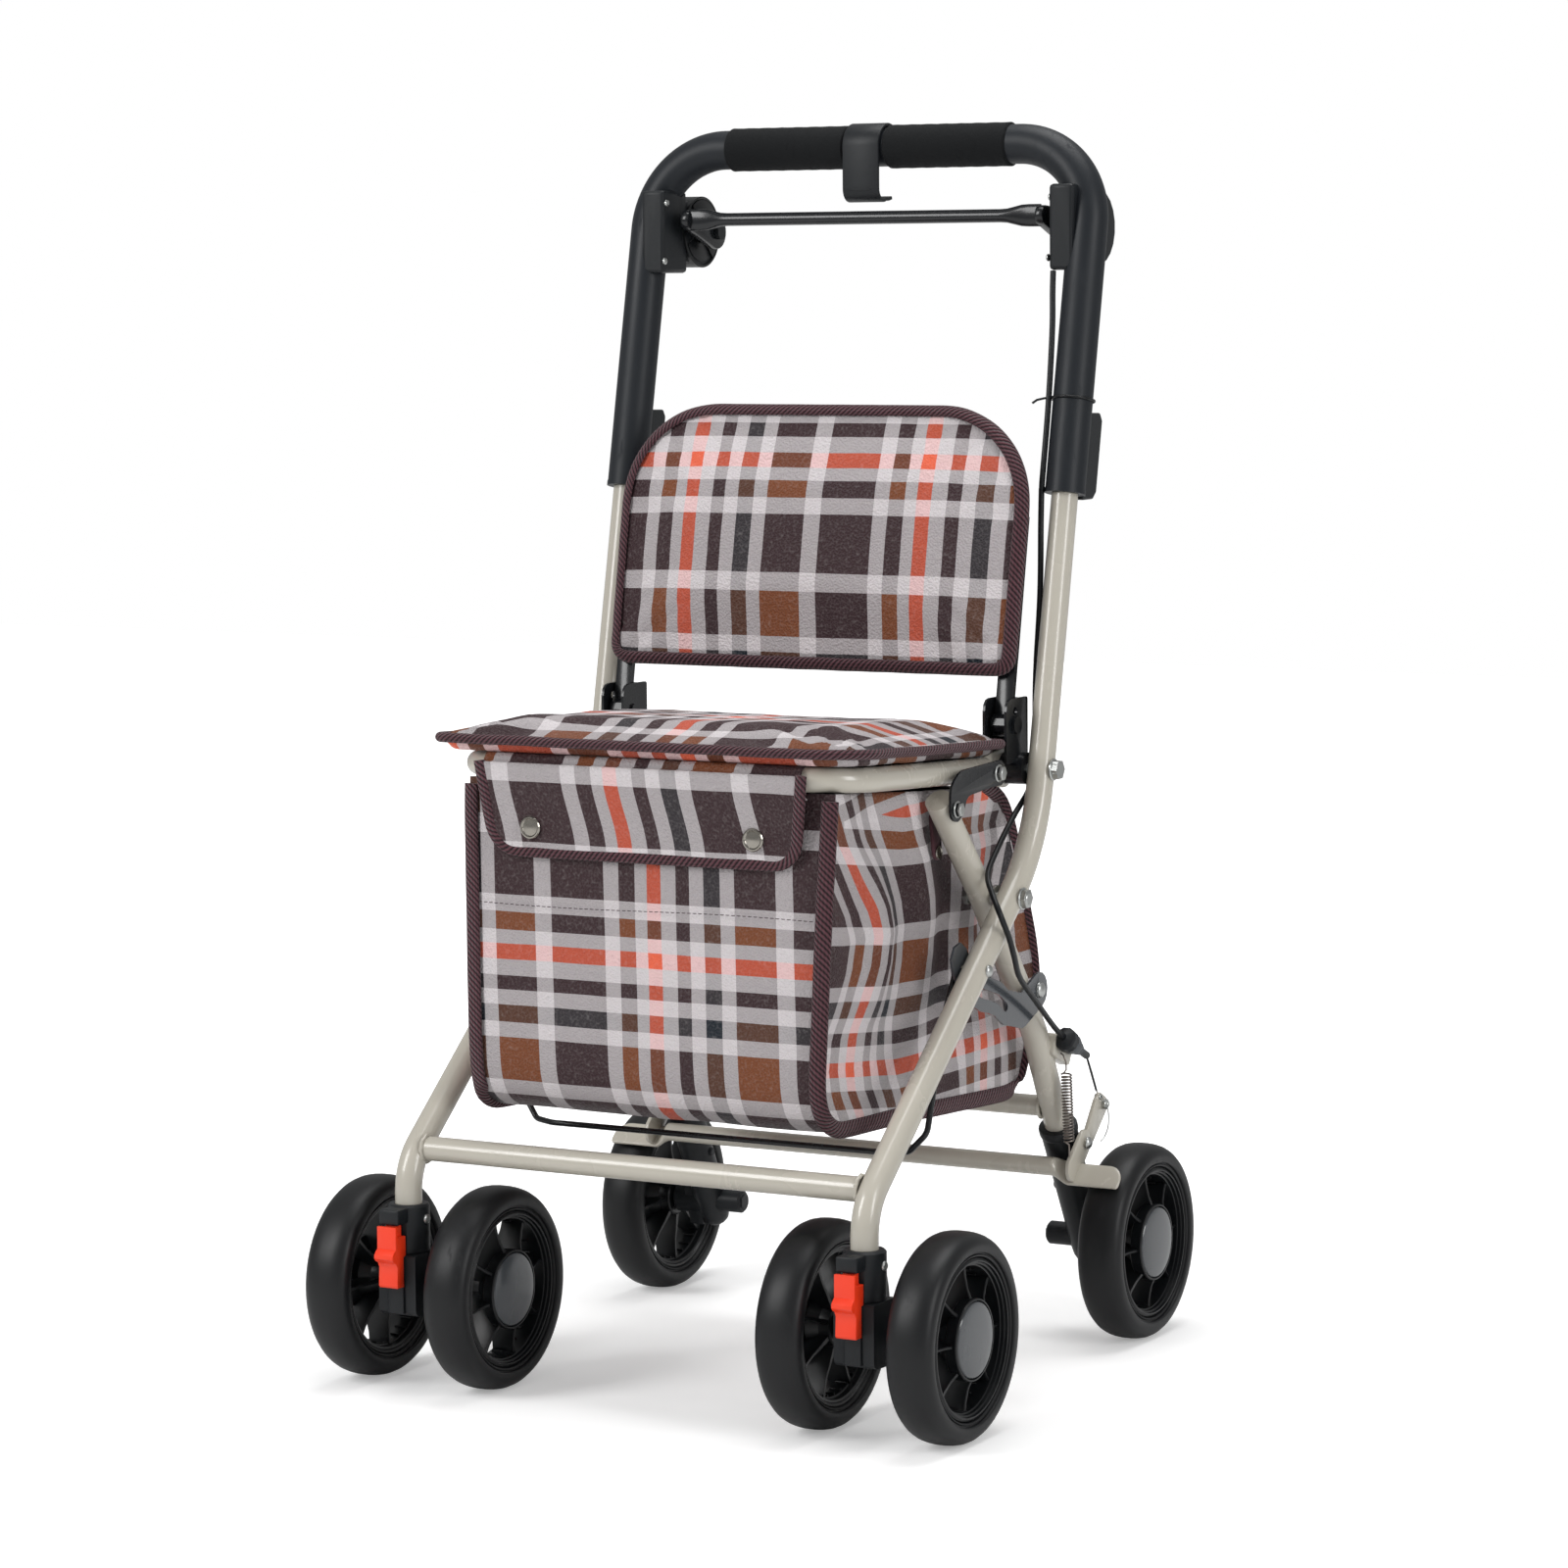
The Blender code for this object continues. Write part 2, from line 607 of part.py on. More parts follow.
for side, s in SIDES:
    inner = REAR_X + TUBE_R + 0.5
    outer = inner + 2.0
    plate = slab("plate", band(line + [(52.0, 269.0)], 13.0), s * inner, s * outer)
    lobe = slab("lobe", capsule((52.0, 269.0), PLATE_RIVET, 13.0, 13.5), s * inner, s * outer)
    join(plate, lobe)
    cut(plate, slab("slot", band(line[1:], 3.4), s * (inner - 2), s * (outer + 2)))
    rivet = pin_x("rivet", PLATE_RIVET, 3.5, s * (REAR_X + 5.6), s * (inner + 1), 12)
    head = pin_x("head", PLATE_RIVET, 6.0, s * (outer - 0.5), s * (outer + 1.6), 12)
    join(plate, rivet, head)
    cut(plate, sweep("clear", rear_path(s), TUBE_R + 0.3))
    keep_largest(plate)
    done(plate, side + "_stay_plate", PLATE, 0.0, CROSS_PIVOT)


# Seat: a bent tube with two lugs on the pivot tube, a padded top, and the backrest's brackets.
ARM_SLOPE = 0.0524


def arm_z(y):
    """Height of the seat arm's axis at depth y."""
    return SEAT_PIVOT[1] + ARM_SLOPE * (SEAT_PIVOT[0] - y)


SEAT_FRONT = -190.0
seat_path = rounded([(ARM_X, 23.0, arm_z(23.0)), (ARM_X, SEAT_FRONT, arm_z(SEAT_FRONT)),
                     (-ARM_X, SEAT_FRONT, arm_z(SEAT_FRONT)), (-ARM_X, 23.0, arm_z(23.0))], 46.0, 15.0)
seat = sweep("seat", seat_path, ARM_R, 12)
for side, s in SIDES:
    lug = slab("lug", capsule(SEAT_PIVOT, LINK_TOP, 15.0, 8.0), s * 156.6, s * 159.6)
    join(seat, lug)
    cut(seat, pin_x("bore", SEAT_PIVOT, 9.5, s * 150, s * 170), pin_x("bore", LINK_TOP, 3.8, s * 150, s * 175, 12))
done(seat, "seat_frame", BEIGE, 0.0, SEAT_PIVOT)

hinge = lathe("hinge", [(4.3, -178.9), (12.0, -178.9), (12.0, -160.0), (9.0, -160.0), (9.0, 160.0),
                        (12.0, 160.0), (12.0, 178.9), (4.3, 178.9)], (0, *SEAT_PIVOT), "X", 16, 0.5, True)
for side, s in SIDES:
    face = rounded_outline([(36.5, 454.0), (72.0, 454.0), (72.0, 502.0), (36.5, 502.0)], [0.0, 0.0, 2.0, 9.0], 40.0)
    inner = slab("wall", face, s * 154.2, s * 156.2)
    outer = slab("wall", face, s * 172.0, s * 174.0)
    web = block("web", (min(s * 155, s * 173), 69.6, 466.0), (max(s * 155, s * 173), 71.8, 501.0))
    cut(inner, pin_x("hole", BACK_PIVOT, 4.4, s * 150, s * 160, 12))
    cut(outer, pin_x("hole", BACK_PIVOT, 4.4, s * 170, s * 178, 12))
    cut(outer, pin_x("hole", (51.0, 492.5), 3.0, s * 170, s * 178, 12))
    join(hinge, inner, outer, web)
done(hinge, "seat_pivot_tube", BLACK, 0.0, SEAT_PIVOT)


def under(y):
    """Height of the cushion's underside, just above the seat tube."""
    return arm_z(y) + ARM_R + GAP


def seat_plan(inset):
    w = 173.0 - inset
    corners = [(-w, -202.0 + inset), (w, -202.0 + inset), (w - 1.5, 34.6 - inset * 0.8),
               (152.6 - inset * 0.8, 34.6 - inset * 0.8), (152.6 - inset * 0.8, 46.0 - inset),
               (-152.6 + inset * 0.8, 46.0 - inset), (-152.6 + inset * 0.8, 34.6 - inset * 0.8),
               (-w + 1.5, 34.6 - inset * 0.8)]
    return rounded_outline(corners, [38.0, 38.0, 7.0, 1.5, 5.0, 5.0, 1.5, 7.0], 30.0)


bm = bmesh.new()
rings = []
CROWN = [(5.0, 0.2), (1.2, 2.4), (0.0, 6.6), (1.6, 11.0), (14.0, 17.4), (38.0, 22.2)]
for inset, rise in CROWN:
    rings.append([bm.verts.new((px, py, under(py) + rise)) for px, py in seat_plan(inset)])
skin(bm, rings)
top = [f for f in bm.faces if len(f.verts) > 8 and f.calc_center_median().z > under(-80.0) + 10]
poked = bmesh.ops.poke(bm, faces=top)
for v in poked["verts"]:
    v.co.z = under(v.co.y) + 26.0
cushion = to_object("cushion", bm)
done(cushion, "seat_cushion", CLOTH, 0.0, SEAT_PIVOT)

# Links between the seat arms and the tops of the rear legs.
for side, s in SIDES:
    x0 = REAR_X + TUBE_R + 0.5
    outline = rounded_outline([(24.0, 455.0), (18.0, 459.5), (-46.0, 457.5), (-63.0, 448.0), (-63.0, 424.0),
                               (-52.0, 420.0), (-42.0, 427.0), (-38.0, 438.0), (4.0, 441.0), (20.0, 440.5),
                               (25.0, 447.0)], [3.0, 3.0, 16.0, 12.0, 7.0, 7.0, 7.0, 10.0, 10.0, 6.0, 4.0])
    link = slab("link", outline, s * x0, s * (x0 + 2.0))
    pin = pin_x("pin", LINK_TOP, 3.5, s * 151.5, s * (x0 + 1.0), 12)
    nut = pin_x("nut", LINK_TOP, 6.5, s * 149.5, s * 152.5, 6)
    head = pin_x("head", LINK_TOP, 5.6, s * (x0 + 1.0), s * (x0 + 4.4), 6)
    head2 = pin_x("head", LINK_FOOT, 5.6, s * (x0 + 1.0), s * (x0 + 4.4), 6)
    join(link, pin, nut, head, head2)
    done(link, side + "_fold_link", BLACK, 0.0, LINK_TOP)

# Backrest: a flat frame behind a padded panel, hinged in the brackets.
LEAN = math.atan2(0.19, 1.0)
BACK_FOOT = (51.0, 518.0)


def panel(v, depth):
    """Side view point at distance v up the panel and depth in front of its middle."""
    return (BACK_FOOT[0] + v * math.sin(LEAN) - depth * math.cos(LEAN),
            BACK_FOOT[1] + v * math.cos(LEAN) + depth * math.sin(LEAN))


def strip(v0, v1, front, back, x0, x1):
    outline = [panel(v0, front), panel(v1, front), panel(v1, back), panel(v0, back)]
    return slab("strip", outline, x0, x1)


back = strip(-44.0, 120.0, -4.6, -9.6, 157.4, 170.8)
join(back, strip(-44.0, 120.0, -4.6, -9.6, -170.8, -157.4), strip(95.0, 119.9, -5.0, -9.2, -165.0, 165.0))
for side, s in SIDES:
    pin = pin_x("pin", BACK_PIVOT, 4.0, s * 152.6, s * 174.6, 12)
    head = pin_x("head", BACK_PIVOT, 6.5, s * 174.4, s * 176.6, 12)
    post = slab("post", capsule(BACK_PIVOT, panel(-30.0, -7.1), 8.0, 3.2), s * 157.4, s * 170.8)
    join(back, post, pin, head)
done(back, "backrest_frame", BLACK, 0.0, BACK_PIVOT)


def back_plan(inset):
    w = 174.0 - inset
    foot = inset
    head = 201.0 - inset
    return rounded_outline([(-w + 1.0, foot), (w - 1.0, foot), (w, head), (-w, head)],
                           [14.0, 14.0, 76.0 - inset * 0.5, 76.0 - inset * 0.5], 15.0)


bm = bmesh.new()
rings = []
for inset, depth in [(5.0, -4.0), (0.0, 0.0), (1.4, 3.2), (6.0, 5.2), (18.0, 8.0), (42.0, 9.8)]:
    ring = []
    for px, pv in back_plan(inset):
        y, z = panel(pv, depth)
        ring.append(bm.verts.new((px, y, z)))
    rings.append(ring)
skin(bm, rings)
done(to_object("panel", bm), "backrest_cushion", CLOTH, 0.0, BACK_PIVOT)

# Handle: one bent tube that slides on the uprights, with foam grips and a bag hook.
handle_path = rounded([(-FRAME_X, rake_y(SLEEVE_FOOT), SLEEVE_FOOT), (-FRAME_X, HANDLE_Y, HANDLE_Z),
                       (FRAME_X, HANDLE_Y, HANDLE_Z), (FRAME_X, rake_y(SLEEVE_FOOT), SLEEVE_FOOT)],
                      HANDLE_BEND, 15.0)


def handle_shape(r, sides=16):
    return sweep("handle", handle_path, r, sides)


handle = handle_shape(SLEEVE_R)
for side, s in SIDES:
    x = s * FRAME_X
    low = SLEEVE_FOOT - 6.0
    high = HANDLE_Z - HANDLE_BEND - 8.0
    cut(handle, rod("bore", TUBE_R + 0.5, (x, rake_y(low), low), (x, rake_y(high), high), 20))
done(handle, "handle_bar", BLACK, 0.0, (rake_y(SLEEVE_FOOT), SLEEVE_FOOT))

for side, s in SIDES:
    lo, hi = sorted((s * 17.0, s * 121.0))
    profile = [(15.65, lo), (16.35, lo), (16.35, hi), (15.65, hi)]
    grip = lathe("grip", profile, (0, HANDLE_Y, HANDLE_Z), "X", 16, 0.5, True)
    done(grip, side + "_grip", FOAM)

hook_line = [turn((HANDLE_Y + 16.9, HANDLE_Z), (HANDLE_Y, HANDLE_Z), a) for a in range(-40, 181, 20)]
front_y = HANDLE_Y - 16.9
curl = (front_y + 9.0, HANDLE_Z - 31.7)
hook_line += [turn((front_y, curl[1]), curl, a) for a in range(0, 100, 22)]
hook_line += [(curl[0] + 6.0, curl[1] - 9.0), (curl[0] + 13.0, curl[1] - 7.0)]
left = []
right = []
for i, p in enumerate(hook_line):
    a = hook_line[max(i - 1, 0)]
    b = hook_line[min(i + 1, len(hook_line) - 1)]
    d = math.dist(a, b)
    ny = -(b[1] - a[1]) / d * 1.3
    nz = (b[0] - a[0]) / d * 1.3
    left.append((p[0] + ny, p[1] + nz))
    right.append((p[0] - ny, p[1] - nz))
hook = slab("hook", left + list(reversed(right)), -15.8, 15.8)
done(hook, "bag_hook", BLACK)

HOUSING_FOOT = DIAL[1] - 32.0
HOUSING_X = 166.0
for side, s in SIDES:
    lo, hi = sorted((s * HOUSING_X, s * 186.0))
    body = block("body", (lo, HANDLE_Y - 32.25, HOUSING_FOOT), (hi, HANDLE_Y + 4.75, HOUSING_FOOT + 64.0), 3.0)
    lo2, hi2 = sorted((s * (HOUSING_X + 1.5), s * 178.0))
    web = block("web", (lo2, HANDLE_Y - 7.25, DIAL[1] - 24.0), (hi2, HANDLE_Y + 28.75, DIAL[1] + 24.0), 2.0)
    disc = pin_x("disc", DIAL, 28.0, s * (HOUSING_X - 0.6), s * 181.0, 20)
    axle = pin_x("axle", DIAL, 4.0, s * 148.0, s * (HOUSING_X + 2.0), 8)
    hub = pin_x("hub", DIAL, 8.0, s * 158.0, s * (HOUSING_X + 2.0), 8)
    head = pin_x("head", DIAL, 6.5, s * 146.2, s * 149.4, 8)
    join(body, web, disc, axle, hub, head)
    cut(body, handle_shape(SLEEVE_R + 0.3))
    keep_largest(body)
    done(body, side + "_brake_housing", BLACK)

    outline = []
    for up, off in ((-5.3, 8.0), (-5.3, 31.0), (-0.8, 35.5), (53.2, 35.5), (58.7, 31.0), (58.7, 8.0)):
        outline.append((rake_y(SLEEVE_FOOT + up) + off, SLEEVE_FOOT + up))
    case = slab("case", outline, s * (FRAME_X - 9.0), s * (FRAME_X + 9.0))
    low, high = SLEEVE_FOOT - 20.8, SLEEVE_FOOT + 79.2
    cut(case, rod("sleeve", SLEEVE_R + 0.3, (s * FRAME_X, rake_y(low), low), (s * FRAME_X, rake_y(high), high), 20))
    z0, z1 = SLEEVE_FOOT + 16.2, SLEEVE_FOOT + 38.2
    mid = rake_y((z0 + z1) / 2)
    pocket = block("pocket", (s * FRAME_X - 5.4, mid + 26.0, z0 - 0.4), (s * FRAME_X + 5.4, mid + 44.0, z1 + 0.4))
    cut(case, pocket)
    done(case, side + "_height_lock", BLACK)
    press = block("press", (s * FRAME_X - 5.0, mid + 30.5, z0), (s * FRAME_X + 5.0, mid + 39.5, z1), 1.2)
    done(press, side + "_height_button", ORANGE)

# Hand brake bar: a cross bar on two levers that turn on the housings' screws.
HAND_BAR = (HANDLE_Y - 15.75, HANDLE_Z - 53.7)
bar = pin_x("bar", HAND_BAR, 5.0, -152.0, 152.0, 12)
for side, s in SIDES:
    lever = slab("lever", capsule(DIAL, HAND_BAR, 13.5, 6.5), s * 149.8, s * 156.6)
    join(bar, lever)
    cut(bar, pin_x("bore", DIAL, 4.3, s * 145, s * 160, 12))
done(bar, "brake_bar", BLACK, 0.0, DIAL)

# Rear brake: one tube under the bag, pressed flat at both ends where it meets the tyres.
PAD_GAP = 3.2
PAD_T = 3.2
PAD_HALF = 10.0
out_y = (BRAKE_BAR[0] - REAR_AXLE[0]) / math.dist(BRAKE_BAR, REAR_AXLE)
out_z = (BRAKE_BAR[1] - REAR_AXLE[1]) / math.dist(BRAKE_BAR, REAR_AXLE)
pad_line = WHEEL_R + PAD_GAP + PAD_T / 2 - math.dist(BRAKE_BAR, REAR_AXLE)


def brake_ring(bm, x, flat, low, high):
    """Ring of the brake tube at x; flat is 0 for round and 1 for pressed flat between low and high."""
    ring = []
    for k in range(12):
        a = 2 * math.pi * (k + 0.5) / 12
        c = math.cos(a)
        d = math.sin(a)
        wide = (low + high) / 2 + (high - low) / 2 * math.copysign(abs(c) ** 0.6, c)
        along = BRAKE_TUBE_R * c * (1 - flat) + wide * flat
        off = BRAKE_TUBE_R * d * (1 - flat) + (pad_line + PAD_T / 2 * math.copysign(abs(d) ** 0.4, d)) * flat
        y = BRAKE_BAR[0] + out_y * off + out_z * along
        z = BRAKE_BAR[1] + out_z * off - out_y * along
        ring.append(bm.verts.new((x, y, z)))
    return ring


bm = bmesh.new()
ends = [(168.0, 0.0, 0.0, 0.0), (181.6, 1.0, -PAD_HALF, PAD_HALF), (213.0, 1.0, -PAD_HALF, PAD_HALF),
        (218.0, 1.0, -PAD_HALF, PAD_HALF - 2.2), (221.0, 1.0, -PAD_HALF + 0.6, PAD_HALF - 6.4),
        (222.0, 1.0, -PAD_HALF + 1.6, PAD_HALF - 10.4)]
rows = [brake_ring(bm, -x, f, lo, hi) for x, f, lo, hi in reversed(ends)]
rows += [brake_ring(bm, x, f, lo, hi) for x, f, lo, hi in ends]
skin(bm, rows)
tube = to_object("tube", bm)
for side, s in SIDES:
    lever = slab("lever", capsule(BRAKE_PIVOT, BRAKE_BAR, 10.0, 10.4, 5), s * 183.2, s * 186.4)
    pivot = pin_x("pin", BRAKE_PIVOT, 3.0, s * 178.2, s * 184.0, 8)
    head = pin_x("head", BRAKE_PIVOT, 5.5, s * 186.0, s * 188.6, 12)
    join(tube, lever, pivot, head)
LEVER_TOP = (173.5, 180.0)
LEVER_R = 10.0
arm = slab("arm", capsule(BRAKE_PIVOT, LEVER_TOP, 9.3, LEVER_R, 6), 183.2, 186.4)
join(tube, arm)
done(tube, "brake_tube", BLACK, 0.0, BRAKE_PIVOT)


def curve_object(name, points, r, resolution):
    """Make a round cord or wire from a list of points in millimetres."""
    data = bpy.data.curves.new(name, "CURVE")
    data.dimensions = "3D"
    spline = data.splines.new("POLY")
    spline.points.add(len(points) - 1)
    for p, q in zip(spline.points, points):
        p.co = (q[0] * MM, q[1] * MM, q[2] * MM, 1.0)
    data.bevel_depth = r * MM
    data.bevel_resolution = resolution
    data.use_fill_caps = True
    ob = bpy.data.objects.new(name, data)
    bpy.context.scene.collection.objects.link(ob)
    return ob


def smooth_path(points, spacing):
    """Read even points from a smooth curve through the given points."""
    pts = [Vector(p) for p in points]
    dense = []
    for i in range(len(pts) - 1):
        p0 = pts[max(i - 1, 0)]
        p1 = pts[i]
        p2 = pts[i + 1]
        p3 = pts[min(i + 2, len(pts) - 1)]
        for k in range(24):
            t = k / 24.0
            q = 2 * p1 + (p2 - p0) * t + (2 * p0 - 5 * p1 + 4 * p2 - p3) * t ** 2
            q += (3 * p1 - p0 - 3 * p2 + p3) * t ** 3
            dense.append(q * 0.5)
    dense.append(pts[-1])
    total = sum((b - a).length for a, b in zip(dense, dense[1:]))
    count = max(2, round(total / spacing))
    out = [dense[0]]
    run = 0.0
    goal = total / count
    for a, b in zip(dense, dense[1:]):
        step = (b - a).length
        while run + step >= goal - 1e-9 and len(out) < count:
            t = (goal - run) / step
            a = a + (b - a) * t
            out.append(a)
            step = (b - a).length
            run = 0.0
        run += step
    out.append(dense[-1])
    return out


# Spring: pulls the pads off the tyres.
SPRING_X = 184.8
SPRING_R = 3.5
WIRE_R = 0.6
COILS = 15
SPRING_TOP = (114.6, 212.5)
SPRING_FOOT = (BRAKE_BAR[0] - 6.4, BRAKE_BAR[1] + 19.0)


def spring_points():
    top = Vector((SPRING_X, *SPRING_TOP))
    foot = Vector((SPRING_X, *SPRING_FOOT))
    axis = (top - foot).normalized()
    side = Vector((1, 0, 0))
    ahead = axis.cross(side)
    length = (top - foot).length
    pts = [foot - axis * 9.6, foot - axis * 3.0]
    steps = COILS * 8
    for k in range(steps + 1):
        a = 2 * math.pi * k / 8.0
        grow = min(1.0, k / 4.0, (steps - k) / 4.0)
        grow = max(grow, 0.12)
        offset = (side * math.cos(a) + ahead * math.sin(a)) * SPRING_R * grow
        pts.append(foot + axis * (length * k / steps) + offset)
    hook = Vector((TAB_FACE + WIRE_R + 0.3, SPRING_TOP[0] - 1.0, SPRING_TOP[1] + 15.0))
    pts += [top + axis * 3.0, top + axis * 9.0, hook]
    return pts


coil = spring_points()
body = coil[2:-3]
close = min((body[i] - body[j]).length for i in range(len(body)) for j in range(i + 6, len(body)))
print("spring self gap mm", round(close - 2 * WIRE_R, 2))
done(curve_object("spring", coil, WIRE_R, 1), "brake_spring", STEEL)

# Cable adjuster on the rear leg's tab, with the bare wire that runs on to the lever.
KNOB = (109.0, 241.3)
NECK = (126.5, 232.9)
TIP = (150.0, 221.6)
knob = rod("knob", 5.2, (SPRING_X, *KNOB), (SPRING_X, *NECK), 12)
stem = rod("stem", 3.0, (SPRING_X, NECK[0] - 2, NECK[1] + 1), (SPRING_X, *TIP), 10)
WIRE_ROOM = 3.2
pull = Vector((TIP[0] - LEVER_TOP[0], TIP[1] - LEVER_TOP[1])).normalized() * (LEVER_R + 0.9 + WIRE_ROOM)
wire = rod("wire", 0.9, (SPRING_X, TIP[0] - 1, TIP[1] + 0.5), (SPRING_X, LEVER_TOP[0] + pull.x, LEVER_TOP[1] + pull.y), 8)
join(knob, stem, wire)
done(knob, "cable_adjuster", GREY)

CABLE_R = 2.2
CABLE_TOP = HOUSING_FOOT - 0.6
CABLE_JOIN = SLEEVE_FOOT + 9.2
cable = []
for part, x, ahead in ((0.0, 168.6, 9.7), (0.1, 169.8, 10.0), (0.29, 172.6, 10.6), (0.64, 174.0, 9.3), (1.0, 174.2, 9.0)):
    z = CABLE_TOP + (CABLE_JOIN - CABLE_TOP) * part
    cable.append((x, rake_y(z) - ahead, z))
upper = smooth_path(cable, 10.0)
done(curve_object("cable", upper, CABLE_R, 2), "upper_cable", BLACK)
cable = []
for part, x, ahead in ((0.0, 174.2, 8.9), (0.19, 175.0, 6.4), (0.56, 176.9, 1.4), (1.0, 176.9, -3.4)):
    z = CABLE_JOIN - 5.2 + (515.0 - CABLE_JOIN + 5.2) * part
    cable.append((x, rake_y(z) - ahead, z))
cable += [(176.4, 79.8, 470.0), (176.2, 80.2, 449.0), (176.2, 68.5, 432.0), (176.8, 43.0, 416.0),
          (176.6, 15.0, 393.5), (180.5, -8.0, 378.0), (190.0, -20.0, 366.0), (201.5, -29.5, 351.5),
          (203.6, -19.5, 333.5), (201.5, -7.0, 318.0), (195.5, 14.0, 300.0), (189.0, 54.0, 276.5),
          (185.6, 88.0, 254.5), (SPRING_X, 108.2, 241.9)]
lower = smooth_path(cable, 10.2)
print("cable points", len(upper), len(lower))
done(curve_object("cable", lower, CABLE_R, 2), "lower_cable", BLACK)

# Bag: a stitched box that is open at the top, its front flap, and the wire that carries it.


def bag_half(z):
    return 147.4 + (z - 214.0) * 0.0215


def bag_solid(outline, less):
    bm = bmesh.new()
    rings = []
    for s in (-1, 1):
        rings.append([bm.verts.new((s * (bag_half(z) - less), y, z)) for y, z in outline])
    skin(bm, rings)
    return to_object("bag", bm)


bag_line = rounded_outline([(-189.6, 452.8), (-193.0, 300.0), (-192.0, 212.0), (116.0, 194.5), (143.0, 284.0),
                            (93.0, 396.0), (74.0, 424.0), (44.0, 436.0)],
                           [2.0, 60.0, 14.0, 20.0, 40.0, 24.0, 10.0, 6.0], 22.0)
bag = bag_solid(bag_line, 0.0)
room_line = rounded_outline([(-187.0, 470.0), (-190.4, 300.0), (-189.4, 214.8), (114.4, 197.4), (140.2, 284.0),
                             (91.0, 394.6), (72.4, 421.0), (52.0, 470.0)],
                            [0.0, 60.0, 12.0, 18.0, 38.0, 22.0, 8.0, 0.0], 22.0)
cut(bag, bag_solid(room_line, 2.6))
done(bag, "bag", CLOTH)

FLAP_TOP = 466.0
flap_rings = []
bm = bmesh.new()
flap_plan = rounded_outline([(-127.5, 0.0), (127.5, 0.0), (136.5, 68.0), (-136.5, 68.0)], [14.0, 14.0, 3.0, 3.0])
for depth in (0.0, 2.4):
    ring = []
    for px, v in flap_plan:
        ring.append(bm.verts.new((px, -194.1 - 5.6 * v / 68.0 - depth, 398.0 + v)))
    flap_rings.append(ring)
skin(bm, flap_rings)
done(to_object("flap", bm), "bag_flap", CLOTH, 0.0, (-201.6, FLAP_TOP))

half = []
for x, y, z in ((173.4, -46.8, 309.8), (173.4, -62.0, 286.0), (170.0, -86.0, 198.0), (158.0, -91.0, 184.5),
                (143.0, -94.0, 183.0)):
    half.append((x, y, z))
loop = half + [(-x, y, z) for x, y, z in reversed(half)]
wire = sweep("wire", rounded(loop, [30.0, 14.0, 8.0, 30.0, 30.0, 8.0, 14.0, 30.0], 34.0), 2.25, 8)
done(wire, "bag_cradle_wire", BLACK)
print("all done", len(bpy.data.objects))
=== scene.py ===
# %% [markdown]
# # A folding wheeled walker
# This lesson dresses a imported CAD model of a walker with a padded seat, a plaid bag and
# six wheels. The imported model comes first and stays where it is: each finished piece
# takes the place of a plain CAD solid and rides on the same moving body, so that the
# joints still work when the finished pieces are shown.

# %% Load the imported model
import json
import math
from functools import partial

import bmesh
import bpy
import numpy as np
from mathutils import Matrix, Vector, noise


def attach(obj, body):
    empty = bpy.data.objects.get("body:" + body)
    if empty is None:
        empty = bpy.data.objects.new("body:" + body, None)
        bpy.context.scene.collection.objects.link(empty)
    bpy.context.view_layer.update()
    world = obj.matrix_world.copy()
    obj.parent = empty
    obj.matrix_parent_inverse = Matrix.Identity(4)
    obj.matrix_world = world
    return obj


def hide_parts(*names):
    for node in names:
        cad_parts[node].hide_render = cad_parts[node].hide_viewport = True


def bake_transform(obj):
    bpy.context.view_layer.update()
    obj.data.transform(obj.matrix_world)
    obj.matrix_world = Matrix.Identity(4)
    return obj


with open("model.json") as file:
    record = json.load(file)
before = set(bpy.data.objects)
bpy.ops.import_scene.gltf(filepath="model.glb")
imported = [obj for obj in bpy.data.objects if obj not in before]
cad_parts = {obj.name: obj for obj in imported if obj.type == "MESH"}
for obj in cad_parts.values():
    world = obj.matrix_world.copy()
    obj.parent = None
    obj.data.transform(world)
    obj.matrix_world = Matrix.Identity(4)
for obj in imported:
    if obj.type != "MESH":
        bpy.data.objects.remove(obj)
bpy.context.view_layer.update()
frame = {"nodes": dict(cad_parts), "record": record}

MM = 0.001
SIDES = (("left", -1.0), ("right", 1.0))
BOTH = (-1.0, 1.0)
home = {node: body for body, nodes in frame["record"]["behaviour"]["bodies"].items() for node in nodes}

# %% [markdown]
# ## Camera
# The photograph was taken from the front right, a little above the seat, with a long
# lens from over three metres away. A long lens keeps the far wheels nearly as large as
# the near ones. The camera is placed by its axes rather than by angles, so that the
# slight roll of the real camera is kept too.

# %% Place the camera
PHOTO_WIDTH = 1600.0
FOCAL_LENGTH = 4975.7
SENSOR = 36.0
CAMERA_SPOT = Vector((1.7666, -3.1660, 0.8166))
turn_z = math.radians(29.07)
pitch = math.radians(6.0)
roll = math.radians(-0.466)
ahead = Vector((-math.sin(turn_z) * math.cos(pitch), math.cos(turn_z) * math.cos(pitch), -math.sin(pitch)))
right = Vector((math.cos(turn_z), math.sin(turn_z), 0.0))
up = right.cross(ahead)
rolled_right = right * math.cos(roll) + up * math.sin(roll)
rolled_up = up * math.cos(roll) - right * math.sin(roll)
lens = bpy.data.cameras.new("camera")
lens.sensor_width = SENSOR
lens.lens = FOCAL_LENGTH / PHOTO_WIDTH * SENSOR
lens.clip_end = 50.0
camera = bpy.data.objects.new("camera", lens)
bpy.context.scene.collection.objects.link(camera)
basis = Matrix((rolled_right, rolled_up, -ahead)).transposed().to_4x4()
camera.matrix_world = Matrix.Translation(CAMERA_SPOT) @ basis
bpy.context.scene.camera = camera
print("camera with a", round(lens.lens, 1), "mm lens")

